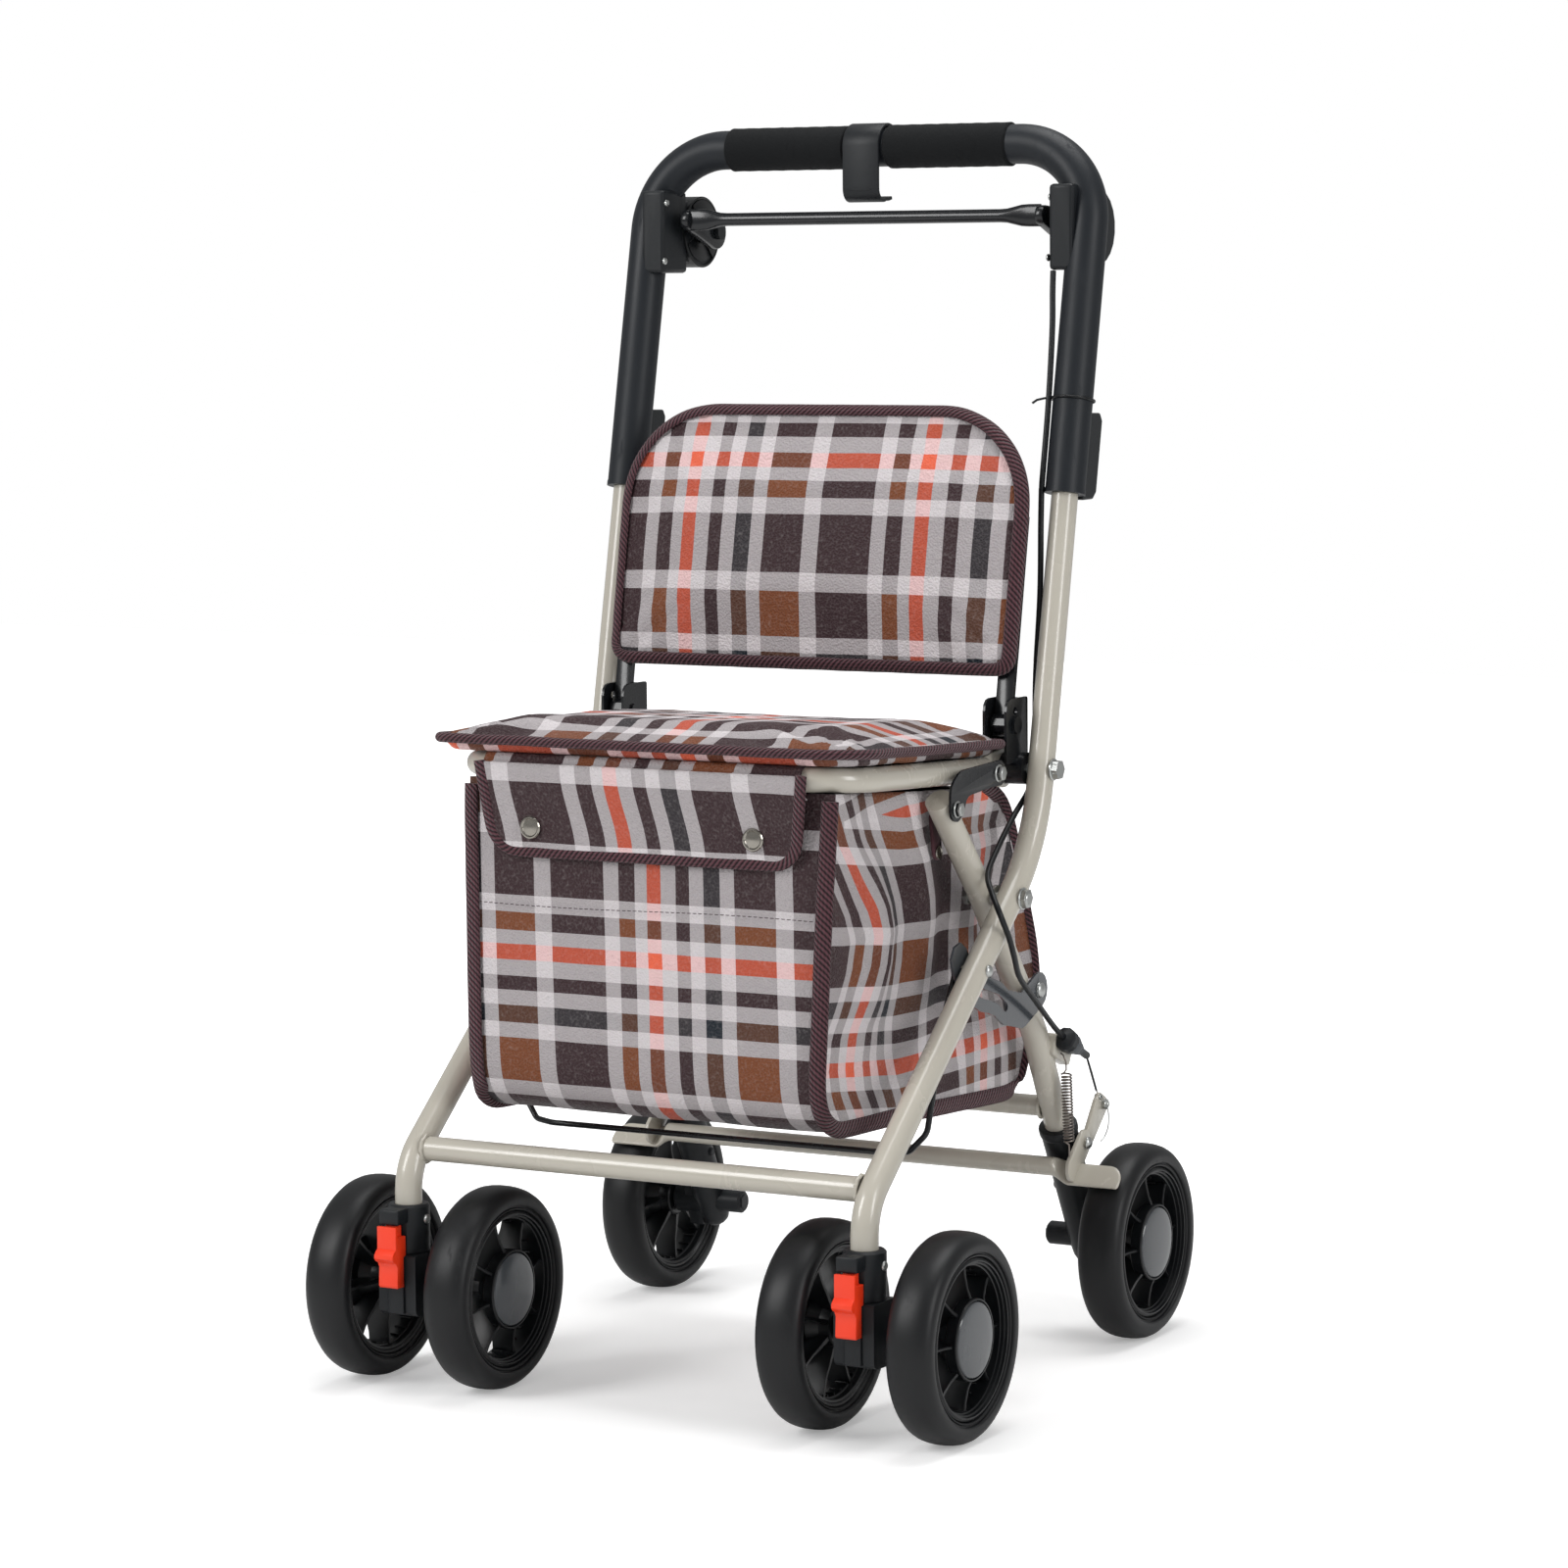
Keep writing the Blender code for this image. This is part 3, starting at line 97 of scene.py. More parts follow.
# %% [markdown]
# ## Helpers
# All sizes below are in millimetres, as on a maker's drawing, and become metres in one
# place. A piece is drawn as one bmesh: bars are swept along a path, turned parts come
# from a profile, and plates are extruded from a side view outline with a small rounded
# edge, because no real moulded or pressed edge is perfectly sharp.

# %% Rounded paths and outlines


def rounded(points, radius, step=6.0):
    """Round the corners of a path of 3-D points."""
    pts = [Vector(p) for p in points]
    radii = radius if isinstance(radius, (list, tuple)) else [radius] * (len(pts) - 2)
    out = [pts[0]]
    for i in range(1, len(pts) - 1):
        a = (pts[i - 1] - pts[i]).normalized()
        b = (pts[i + 1] - pts[i]).normalized()
        bend = math.pi - a.angle(b)
        r = radii[i - 1]
        if r <= 0 or bend < 0.002:
            out.append(pts[i])
            continue
        t = r * math.tan(bend / 2)
        centre = pts[i] + (a + b).normalized() * (r / math.cos(bend / 2))
        arm = pts[i] + a * t - centre
        axis = arm.cross(pts[i] + b * t - centre).normalized()
        n = max(3, math.ceil(math.degrees(bend) / step))
        out += [centre + Matrix.Rotation(bend * k / n, 3, axis) @ arm for k in range(n + 1)]
    out.append(pts[-1])
    return out


def outline(corners, radius, step=12.0):
    """Round every corner of a closed flat outline."""
    n = len(corners)
    radii = radius if isinstance(radius, (list, tuple)) else [radius] * n
    out = []
    for i in range(n):
        a, b, c = (Vector((*corners[k % n], 0)) for k in (i - 1, i, i + 1))
        if radii[i] <= 0:
            out.append((b.x, b.y))
        else:
            out += [(p.x, p.y) for p in rounded([a, b, c], radii[i], step)[1:-1]]
    return out


def arc(centre, radius, first, step, count):
    """Side view points on an arc, from an angle in degrees."""
    angles = [math.radians(first + step * k) for k in range(count)]
    return [(centre[0] + radius * math.cos(a), centre[1] + radius * math.sin(a)) for a in angles]


print("corner helpers ready")

# %% Runs and smooth paths


def run_marks(line):
    """Distance along a line at each of its points."""
    marks = [0.0]
    for a, b in zip(line, line[1:]):
        marks.append(marks[-1] + (b - a).length)
    return marks


def heading(line, i):
    """Direction of an open line at one of its points."""
    return (line[min(i + 1, len(line) - 1)] - line[max(i - 1, 0)]).normalized()


def points_at(line, marks, goals):
    """Rows of x, y and z at given distances along a line."""
    grid = np.array([tuple(p) for p in line])
    return np.stack([np.interp(goals, marks, grid[:, k]) for k in range(3)], axis=1)


def smooth_path(points, spacing):
    """Even points on a smooth curve through the given ones."""
    pts = [Vector(p) for p in points]
    dense = []
    for i in range(len(pts) - 1):
        p0 = pts[max(i - 1, 0)]
        p1 = pts[i]
        p2 = pts[i + 1]
        p3 = pts[min(i + 2, len(pts) - 1)]
        for k in range(24):
            t = k / 24.0
            q = 2 * p1 + (p2 - p0) * t + (2 * p0 - 5 * p1 + 4 * p2 - p3) * t ** 2
            dense.append((q + (3 * p1 - p0 - 3 * p2 + p3) * t ** 3) * 0.5)
    dense.append(pts[-1])
    marks = run_marks(dense)
    count = max(2, round(marks[-1] / spacing))
    return [Vector(p) for p in points_at(dense, marks, np.linspace(0.0, marks[-1], count + 1))]


def calmed(line, times=3):
    """Smooth a line and keep its ends."""
    for _ in range(times):
        line = [line[0]] + [(a + b * 2 + c) / 4 for a, b, c in zip(line, line[1:], line[2:])] + [line[-1]]
    return line


print("path helpers ready")

# %% Skins over rows of points
REPEAT = 200.0


def skin(bm, rings, loop=False, caps=True, uv=None):
    """Join equal rings of vertices with quads; uv gives each ring corner its cloth place."""
    layer = bm.loops.layers.uv.verify() if uv else None
    n = len(rings[0])
    count = len(rings)
    for i in range(count if loop else count - 1):
        for k in range(n):
            corners = ((i, k), (i, k + 1), (i + 1, k + 1), (i + 1, k))
            face = bm.faces.new([rings[row % count][col % n] for row, col in corners])
            if uv:
                for corner, (row, col) in zip(face.loops, corners):
                    corner[layer].uv = uv(row, col)
    if caps and not loop:
        bm.faces.new(rings[0])
        bm.faces.new(list(reversed(rings[-1])))


def cloth_grid(bm, rows, uv, flip=False):
    """Join rows of vertices to a sheet; uv gives a corner's cloth place from its row, column and point."""
    layer = bm.loops.layers.uv.verify()
    for i in range(len(rows) - 1):
        for k in range(len(rows[0]) - 1):
            corners = ((i, k), (i, k + 1), (i + 1, k + 1), (i + 1, k))
            if flip:
                corners = corners[::-1]
            face = bm.faces.new([rows[row][col] for row, col in corners])
            for corner, (row, col) in zip(face.loops, corners):
                corner[layer].uv = uv(row, col, corner.vert.co)


print("skin helpers ready")

# %% Swept bars


def ring_section(wide, sides, deep=None):
    """Round section, or an oval one where its depth is given too."""
    angles = [2 * math.pi * k / sides for k in range(sides)]
    return [(wide * math.cos(a), (wide if deep is None else deep) * math.sin(a)) for a in angles]


def sweep(bm, points, section, loop=False, seed=(1, 0, 0), cloth=False):
    """Sweep a section along a path; section is a list of offsets, or a function that gives one per point."""
    shape_at = section if callable(section) else lambda i: section
    pts = [Vector(p) for p in points]
    n = len(pts)
    tangents = []
    for i in range(n):
        before = pts[i - 1] if (i > 0 or loop) else pts[i]
        after = pts[(i + 1) % n] if (i < n - 1 or loop) else pts[i]
        t = Vector((0, 0, 0))
        for step in (pts[i] - before, after - pts[i]):
            if step.length > 0:
                t += step.normalized()
        tangents.append(t.normalized())
    side = Vector(seed)
    if abs(tangents[0].dot(side)) > 0.9:
        side = Vector((0, 0, 1))
    side = (side - tangents[0] * side.dot(tangents[0])).normalized()
    frames = []
    for i in range(n):
        if i > 0:
            side = tangents[i - 1].rotation_difference(tangents[i]) @ side
            side = (side - tangents[i] * side.dot(tangents[i])).normalized()
        frames.append((side.copy(), tangents[i].cross(side)))
    twist = 0.0
    if loop:
        last = tangents[-1].rotation_difference(tangents[0]) @ frames[-1][0]
        twist = math.atan2(last.dot(frames[0][1]), last.dot(frames[0][0]))
    rings = []
    for i in range(n):
        a = -twist * i / n
        one = frames[i][0] * math.cos(a) + frames[i][1] * math.sin(a)
        two = frames[i][1] * math.cos(a) - frames[i][0] * math.sin(a)
        rings.append([bm.verts.new(pts[i] + one * p + two * q) for p, q in shape_at(i)])
    run = run_marks(pts + [pts[0]])
    first = shape_at(0)
    count = len(first)
    around = sum(math.dist(first[k], first[(k + 1) % count]) for k in range(count))
    place = (lambda row, col: (run[row] / REPEAT, col / count * around / REPEAT)) if cloth else None
    skin(bm, rings, loop, uv=place)


def bar(bm, points, radius, sides=24, loop=False, cloth=False):
    """Round bar along a path."""
    sweep(bm, points, ring_section(radius, sides), loop, cloth=cloth)


print("sweep helpers ready")

# %% Turned parts, plates and blocks


def lathe(bm, profile, centre, axis="X", seg=48, closed=False, flip=1.0):
    """Turn a profile of (radius, place along the axis) about an axis."""
    rows = []
    for r, t in profile:
        t = t * flip
        row = []
        for k in range(seg if r > 0 else 1):
            a = 2 * math.pi * k / seg
            c = r * math.cos(a)
            s = r * math.sin(a)
            place = {"X": (t, s, -c), "Y": (c, t, s)}[axis]
            row.append(bm.verts.new(Vector(centre) + Vector(place)))
        rows.append(row)
    pairs = list(zip(rows, rows[1:]))
    if closed:
        pairs.append((rows[-1], rows[0]))
    for a, b in pairs:
        for k in range(seg):
            j = (k + 1) % seg
            corners = [a[k % len(a)], b[k % len(b)], b[j % len(b)], a[j % len(a)]]
            unique = [v for i, v in enumerate(corners) if v not in corners[:i]]
            if len(unique) > 2:
                bm.faces.new(unique)


def plate(bm, shape, x0, x1, edge=0.5):
    """Extrude a side view outline of (y, z) points along X, with softened edges."""
    lo, hi = sorted((x0, x1))
    edge = min(edge, (hi - lo) * 0.45)
    n = len(shape)
    area = sum(shape[i - 1][0] * shape[i][1] - shape[i][0] * shape[i - 1][1] for i in range(n))
    sense = 1.0 if area > 0 else -1.0
    inner = []
    for i in range(n):
        a, b, c = (Vector(shape[k % n]) for k in (i - 1, i, i + 1))
        t = Vector((0, 0))
        for step in (b - a, c - b):
            if step.length > 1e-6:
                t += step.normalized()
        t = t.normalized() if t.length > 0 else Vector((1, 0))
        inner.append((b.x - t.y * sense * edge, b.y + t.x * sense * edge))
    between = [tuple(Vector(p) * 0.3 + Vector(q) * 0.7) for p, q in zip(inner, shape)]
    layers = ((lo, inner), (lo + edge * 0.3, between), (lo + edge, shape),
              (hi - edge, shape), (hi - edge * 0.3, between), (hi, inner))
    skin(bm, [[bm.verts.new((x, y, z)) for y, z in line] for x, line in layers])


def pin(bm, point, radius, x0, x1, seg=24, edge=0.4):
    """Round bar along X through a side view point, with softened rims."""
    lo, hi = sorted((x0, x1))
    profile = [(0, lo), (radius - edge, lo), (radius, lo + edge), (radius, hi - edge), (radius - edge, hi),
               (0, hi)]
    lathe(bm, profile, (0, point[0], point[1]), "X", seg)


def block(bm, low, high, edge=1.0, steps=3):
    """A block between two corners with rounded edges."""
    made = bmesh.ops.create_cube(bm, size=1.0)["verts"]
    size = [high[i] - low[i] for i in range(3)]
    bmesh.ops.scale(bm, vec=size, verts=made)
    bmesh.ops.translate(bm, vec=[(high[i] + low[i]) / 2 for i in range(3)], verts=made)
    edges = {e for v in made for e in v.link_edges}
    bmesh.ops.bevel(bm, geom=list(edges), offset=edge, segments=steps, affect="EDGES", profile=0.5)


print("solid helpers ready")

# %% From a drawing to a piece
DRESS_ANGLE = 33.0


def mesh_of(bm, name, crease=None, scale=MM):
    """End a drawing as a mesh in metres; edges sharper than crease degrees stay sharp."""
    mesh = bpy.data.meshes.new(name)
    bm.to_mesh(mesh)
    bm.free()
    mesh.transform(Matrix.Scale(scale, 4))
    if crease:
        mesh.shade_smooth()
        mesh.set_sharp_from_angle(angle=math.radians(crease))
    return mesh


def show(name, mesh, *materials):
    """Put a mesh in the scene as an object with its materials."""
    piece = bpy.data.objects.new(name, mesh)
    bpy.context.scene.collection.objects.link(piece)
    for material in materials:
        mesh.materials.append(material)
    return piece


def finish(bm, name, material, body, *nodes, crease=32.0):
    """Turn a drawing in millimetres into a piece that rides on a body and stands for CAD nodes."""
    bmesh.ops.remove_doubles(bm, verts=bm.verts, dist=0.002)
    bmesh.ops.recalc_face_normals(bm, faces=bm.faces)
    piece = show(name, mesh_of(bm, name, crease), material)
    if body:
        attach(piece, body)
    if nodes:
        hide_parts(*nodes)
    return piece


def dress(node, material, edge=0.5):
    """Copy a CAD node's mesh, soften its edges and let the copy stand for the node."""
    bm = bmesh.new()
    bm.from_mesh(frame["nodes"][node].data)
    bmesh.ops.remove_doubles(bm, verts=bm.verts, dist=1e-5)
    bmesh.ops.dissolve_limit(bm, angle_limit=math.radians(2.0), verts=bm.verts, edges=bm.edges)
    name = "finished_" + node
    piece = show(name, mesh_of(bm, name, DRESS_ANGLE, 1.0), material)
    soft = piece.modifiers.new("soft edges", "BEVEL")
    soft.width = edge * MM
    soft.segments = 2
    soft.limit_method = "ANGLE"
    soft.angle_limit = math.radians(DRESS_ANGLE)
    soft.harden_normals = False
    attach(piece, home[node])
    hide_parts(node)


def bake(piece):
    """Make the result of every modifier the object's own mesh."""
    bpy.context.view_layer.update()
    graph = bpy.context.evaluated_depsgraph_get()
    mesh = bpy.data.meshes.new_from_object(piece.evaluated_get(graph))
    piece.modifiers.clear()
    piece.data = mesh
    return mesh


print("helpers ready")

# %% [markdown]
# ## Shared effects for the finishes
# Real surfaces are never one flat colour. Three small node groups give every finish its
# life: a fine grain with clouding and scuffs for hard parts, the slanted ribs of woven
# tape, and the printed tartan. Each group is built once, with named sockets, and every
# material places it with its own values.

# %% Helpers for shader nodes
SOCKETS = {"f": "NodeSocketFloat", "c": "NodeSocketColor", "v": "NodeSocketVector"}


def srgb(red, green, blue):
    """Linear colour of an 8 bit screen colour."""
    screen = [c / 255.0 for c in (red, green, blue)]
    return (*(c / 12.92 if c <= 0.04045 else ((c + 0.055) / 1.055) ** 2.4 for c in screen), 1.0)


def node_group(name, inputs, outputs):
    """Start a shader node group with named float, colour or vector sockets."""
    tree = bpy.data.node_groups.new(name, "ShaderNodeTree")
    for label, kind, *value in inputs:
        socket = tree.interface.new_socket(label, in_out="INPUT", socket_type=SOCKETS[kind])
        if value:
            socket.default_value = value[0]
    for label, kind in outputs:
        tree.interface.new_socket(label, in_out="OUTPUT", socket_type=SOCKETS[kind])
    return tree, tree.nodes.new("NodeGroupInput").outputs, tree.nodes.new("NodeGroupOutput").inputs


def feed(tree, value, socket):
    """Link a socket, or set a plain number or colour."""
    if isinstance(value, (int, float, tuple)):
        socket.default_value = value
    else:
        tree.links.new(value, socket)


def add_node(tree, kind, vector=None, group=None, **values):
    """Place one node; a value's name is its socket's name with _ for a space."""
    node = tree.nodes.new(kind)
    if group:
        node.node_tree = group
    if vector is not None:
        tree.links.new(vector, node.inputs["Vector"])
    for label, value in values.items():
        feed(tree, value, node.inputs[label.replace("_", " ")])
    return node


def math_node(tree, operation, a, b=None, clamp=False):
    """Place one math node; a and b are sockets or plain numbers."""
    node = tree.nodes.new("ShaderNodeMath")
    node.operation = operation
    node.use_clamp = clamp
    for socket, value in zip(node.inputs, (a, b)):
        if value is not None:
            feed(tree, value, socket)
    return node.outputs[0]


def mix_colour(tree, blend, factor, a, b):
    """Place one colour mix node; each value is a socket or a plain colour or number."""
    node = tree.nodes.new("ShaderNodeMix")
    node.data_type = "RGBA"
    node.blend_type = blend
    for k, value in ((0, factor), (6, a), (7, b)):
        feed(tree, value, node.inputs[k])
    return node.outputs[2]


def noise_node(tree, vector, scale, detail=2.0, roughness=0.5):
    """Place one noise texture and give its grey value."""
    return add_node(tree, "ShaderNodeTexNoise", vector, Scale=scale, Detail=detail,
                    Roughness=roughness).outputs["Fac"]


print("node helpers ready")

# %% Grain and wear
grain_group, g_in, g_out = node_group("surface grain", [("Vector", "v"), ("Size", "f", 1500.0)],
                                      [("Height", "f"), ("Cloud", "f"), ("Scuffs", "f")])
calc = partial(math_node, grain_group)
grains = partial(noise_node, grain_group)
link = grain_group.links.new
scaled = grain_group.nodes.new("ShaderNodeVectorMath")
scaled.operation = "SCALE"
link(g_in["Vector"], scaled.inputs[0])
link(g_in["Size"], scaled.inputs["Scale"])
link(grains(scaled.outputs[0], 1.0, 1.0), g_out["Height"])
link(grains(g_in["Vector"], 9.0, 2.0), g_out["Cloud"])
stretched = add_node(grain_group, "ShaderNodeMapping", g_in["Vector"], Scale=(210.0, 210.0, 36.0),
                     Rotation=(0.5, 0.3, 0.2))
streak = grains(stretched.outputs[0], 1.0, 3.0, 0.6)
patch = grains(g_in["Vector"], 23.0, 1.0)
streak = calc("MULTIPLY", calc("SUBTRACT", streak, 0.55), 6.0, True)
patch = calc("MULTIPLY", calc("SUBTRACT", patch, 0.5), 5.0, True)
link(calc("MULTIPLY", streak, patch), g_out["Scuffs"])
print("group", grain_group.name)

# %% Slanted ribs of woven tape
TURN = 6.28318
tape_group, t_in, t_out = node_group("woven ribs", [("Vector", "v"), ("Pitch", "f", 150.0),
                                                    ("Slant", "f", 1.0)], [("Height", "f"), ("Fleck", "f")])
calc = partial(math_node, tape_group)
link = tape_group.links.new
parts = tape_group.nodes.new("ShaderNodeSeparateXYZ")
link(t_in["Vector"], parts.inputs[0])
across = calc("MULTIPLY", parts.outputs["Y"], t_in["Slant"])
phase = calc("MULTIPLY", calc("ADD", parts.outputs["X"], across), t_in["Pitch"])
rib = calc("SINE", calc("MULTIPLY", phase, TURN))
rib = calc("MULTIPLY", calc("ADD", rib, 1.0), 0.5)
weft = calc("SINE", calc("MULTIPLY", calc("MULTIPLY", parts.outputs["Y"], t_in["Pitch"]), 14.0))
link(calc("ADD", rib, calc("MULTIPLY", weft, 0.12)), t_out["Height"])
link(noise_node(tape_group, t_in["Vector"], 260.0, 2.0), t_out["Fleck"])
print("group", tape_group.name)

# %% [markdown]
# The tartan of the seat and the bag is a common printed check. One repeat is 200 mm wide,
# and the same row of stripes runs both ways. A ramp with hard steps holds the pale and
# orange inks, a second one the brown and slate ground. Where two inks cross, the print
# looks lighter, so the crossing mixes the lighter and the darker of the two.

# %% Stripes of the tartan
STRIPES = ((0, "orange"), (6, "pale"), (18, "dark"), (29, "pale"), (41, "slate"), (54, "pale"), (66, "brown"),
           (100, "pale"), (114, "dark"), (158, "pale"), (171, "brown"), (184, "pale"), (194, "orange"))
CLEAR = (0.0, 0.0, 0.0, 0.0)
INKS = {"pale": srgb(214, 208, 210), "orange": srgb(236, 104, 72)}
GROUNDS = {"brown": (1.0, 0.0, 0.0, 1.0), "slate": (0.0, 1.0, 0.0, 1.0), "orange": (0.0, 0.0, 1.0, 1.0)}


def stripe_ramp(tree, factor, looks, other):
    """A hard-stepped ramp with one stop per stripe; looks has the colours of some stripes."""
    ramp = tree.nodes.new("ShaderNodeValToRGB")
    ramp.color_ramp.interpolation = "CONSTANT"
    stops = ramp.color_ramp.elements
    for i, (start, kind) in enumerate(STRIPES):
        stop = stops[i] if i < 2 else stops.new(start / REPEAT)
        stop.position = start / REPEAT
        stop.color = looks.get(kind, other)
    tree.links.new(factor, ramp.inputs["Fac"])
    return ramp.outputs


print("tartan of", len(STRIPES), "stripes")

# %% The printed tartan
plaid_group, p_in, p_out = node_group(
    "printed tartan", [("Vector", "v")], [("Color", "c"), ("Pale", "f"), ("Grain", "f"), ("Weave", "f")])
calc = partial(math_node, plaid_group)
mix = partial(mix_colour, plaid_group, "MIX")
link = plaid_group.links.new
wobble = add_node(plaid_group, "ShaderNodeTexNoise", p_in["Vector"], Scale=3.0)
shift = plaid_group.nodes.new("ShaderNodeVectorMath")
shift.operation = "MULTIPLY_ADD"
shift.inputs[1].default_value = (0.008, 0.008, 0.0)
link(wobble.outputs["Color"], shift.inputs[0])
link(p_in["Vector"], shift.inputs[2])
axes = plaid_group.nodes.new("ShaderNodeSeparateXYZ")
link(shift.outputs[0], axes.inputs[0])
threads = [calc("FRACT", axes.outputs[axis]) for axis in ("X", "Y")]
ink = [stripe_ramp(plaid_group, thread, INKS, CLEAR) for thread in threads]
ground = []
for thread in threads:
    split = plaid_group.nodes.new("ShaderNodeSeparateColor")
    link(stripe_ramp(plaid_group, thread, GROUNDS, (0.0, 0.0, 0.0, 1.0))["Color"], split.inputs[0])
    ground.append(split.outputs)
brown_a, slate_a, orange_a = (ground[0][name] for name in ("Red", "Green", "Blue"))
brown_b, slate_b = (ground[1][name] for name in ("Red", "Green"))
brown_slate = calc("MAXIMUM", calc("MULTIPLY", brown_a, slate_b), calc("MULTIPLY", brown_b, slate_a))
base = mix(calc("MULTIPLY", brown_a, brown_b), srgb(55, 35, 39), srgb(122, 68, 38))
base = mix(calc("MULTIPLY", calc("MAXIMUM", slate_a, slate_b), 0.85), base, srgb(48, 46, 50))
base = mix(brown_slate, base, srgb(86, 54, 40))
base = mix(calc("MULTIPLY", slate_a, slate_b), base, srgb(19, 30, 40))
one, two = (mix(colour["Alpha"], base, colour["Color"]) for colour in ink)
lighter = mix_colour(plaid_group, "LIGHTEN", 1.0, one, two)
darker = mix_colour(plaid_group, "DARKEN", 1.0, one, two)
both_inks = calc("MULTIPLY", ink[0]["Alpha"], ink[1]["Alpha"])
printed = mix(calc("ADD", calc("MULTIPLY", both_inks, 0.24), 0.6), darker, lighter)
printed = mix(calc("MULTIPLY", orange_a, brown_b), printed, srgb(112, 62, 42))
pale_mask = calc("MAXIMUM", ink[0]["Alpha"], ink[1]["Alpha"])
print("tartan colours mixed")

# %% Pebbles and threads in the print
pebbles = plaid_group.nodes.new("ShaderNodeTexVoronoi")
pebbles.feature = "SMOOTH_F1"
pebbles.inputs["Scale"].default_value = 125.0
pebbles.inputs["Smoothness"].default_value = 0.6
link(p_in["Vector"], pebbles.inputs["Vector"])
weave = noise_node(plaid_group, p_in["Vector"], 420.0)
mottle = calc("MULTIPLY", calc("SUBTRACT", weave, 0.5), 0.7)
share = calc("ADD", calc("MULTIPLY", pale_mask, 0.4), 0.6)
tint = plaid_group.nodes.new("ShaderNodeVectorMath")
tint.operation = "SCALE"
link(printed, tint.inputs[0])
link(calc("ADD", calc("MULTIPLY", mottle, share), 1.0), tint.inputs["Scale"])
for label, value in (("Color", tint.outputs[0]), ("Pale", pale_mask), ("Grain", pebbles.outputs["Distance"]),
                     ("Weave", weave)):
    link(value, p_out[label])
print("group", plaid_group.name)

# %% [markdown]
# ## Materials
# The frame is glossy beige paint over steel tube, the moulded parts are black plastic
# with a fine spark-eroded grain, and the wheels are softer black rubber on smooth
# plastic rims. Each material keeps its own shader, and its values that do not change over
# the surface sit on the shader's sockets.

# %% A hard finish


def new_material(name, colour, roughness, metallic=0.0, coat=0.0, specular=0.5):
    """Start a material and give it back with its tree and its shader."""
    mat = bpy.data.materials.new(name)
    mat.use_nodes = True
    mat.diffuse_color = colour
    shader = mat.node_tree.nodes["Principled BSDF"]
    for label, value in (("Base Color", colour), ("Roughness", roughness), ("Metallic", metallic),
                         ("Coat Weight", coat), ("Coat Roughness", 0.12), ("Specular IOR Level", specular)):
        shader.inputs[label].default_value = value
    return mat, mat.node_tree, shader


def bump(tree, shader, height, strength, distance):
    """Let a height shape the shader's normal."""
    node = add_node(tree, "ShaderNodeBump", Strength=strength, Distance=distance, Height=height)
    tree.links.new(node.outputs["Normal"], shader.inputs["Normal"])


def hard_finish(name, colour, roughness, grain=1500.0, relief=0.1, metallic=0.0, coat=0.0, vary=0.06,
                scuff=0.1, lift=0.25, specular=0.5, depth=0.0001):
    """A painted, moulded or metal surface with grain, clouding and faint scuffs."""
    colour = srgb(*colour)
    mat, tree, shader = new_material(name, colour, roughness, metallic, coat, specular)
    calc = partial(math_node, tree)
    mix = partial(mix_colour, tree, "MIX")
    place = tree.nodes.new("ShaderNodeTexCoord").outputs["Object"]
    grains = add_node(tree, "ShaderNodeGroup", place, grain_group, Size=grain).outputs
    light = tuple(min(1.0, c * (1.0 + lift) + 0.01) for c in colour[:3]) + (1.0,)
    dark = tuple(c * (1.0 - vary) for c in colour[:3]) + (1.0,)
    worn = mix(calc("MULTIPLY", grains["Scuffs"], scuff), mix(grains["Cloud"], dark, colour), light)
    tree.links.new(worn, shader.inputs["Base Color"])
    rough = calc("MULTIPLY", calc("SUBTRACT", grains["Cloud"], 0.5), 0.16)
    rough = calc("ADD", rough, calc("MULTIPLY", grains["Scuffs"], 0.22))
    tree.links.new(calc("ADD", rough, roughness, True), shader.inputs["Roughness"])
    bump(tree, shader, grains["Height"], relief, depth)
    return mat


print("hard finish ready")

# %% Painted, moulded and metal finishes
BEIGE = hard_finish("beige paint", (184, 179, 167), 0.27, 700.0, 0.05, coat=0.4, vary=0.03)
BLACK = hard_finish("moulded black plastic", (24, 27, 30), 0.44, 2600.0, 0.45, vary=0.12, scuff=0.25,
                    specular=0.3)
SMOOTH = hard_finish("smooth black plastic", (16, 18, 20), 0.33, 1800.0, vary=0.15, scuff=0.2, specular=0.3)
PRESSED = hard_finish("black painted steel", (20, 22, 25), 0.25, 900.0, coat=0.25, vary=0.1, scuff=0.2,
                      specular=0.3)
SATIN = hard_finish("satin slate paint", (25, 29, 34), 0.46, 2400.0, 0.25, vary=0.08, scuff=0.12,
                    specular=0.3)
RUBBER = hard_finish("black rubber", (21, 22, 24), 0.42, 1300.0, 0.25, vary=0.2, scuff=0.35, lift=0.6,
                     specular=0.3)
FOAM = hard_finish("foam rubber", (14, 16, 18), 0.85, 1700.0, 0.9, vary=0.15, depth=0.0004, specular=0.25)
ORANGE = hard_finish("orange plastic", (242, 58, 20), 0.36, 2200.0, 0.15, vary=0.05, scuff=0.15)
# The stay plate is glossy black; its base colour is lifted to dark grey as a painted reflection of the white
# surroundings.
PLATE = hard_finish("glossy black plate with painted reflection", (58, 62, 67), 0.2, 900.0, 0.08, coat=0.6, scuff=0.3)
ZINC = hard_finish("zinc plated steel", (186, 188, 186), 0.34, relief=0.25, metallic=1.0, vary=0.12,
                   scuff=0.4)
# The chrome's base colour is darker than real chrome, as a painted reflection of dark surroundings.
CHROME = hard_finish("bright chrome", (150, 146, 138), 0.2, 1200.0, 0.04, metallic=1.0, vary=0.04, scuff=0.2)
CABLE = hard_finish("cable sheath", (20, 22, 25), 0.36, 1600.0, 0.12, vary=0.08, scuff=0.15, specular=0.3)
CAP = hard_finish("smoky hub plastic", (52, 56, 60), 0.2, 900.0, 0.05, coat=0.3, vary=0.08, scuff=0.25)
STEEL = hard_finish("spring steel", (138, 130, 124), 0.3, 1400.0, metallic=1.0, vary=0.1, scuff=0.3)
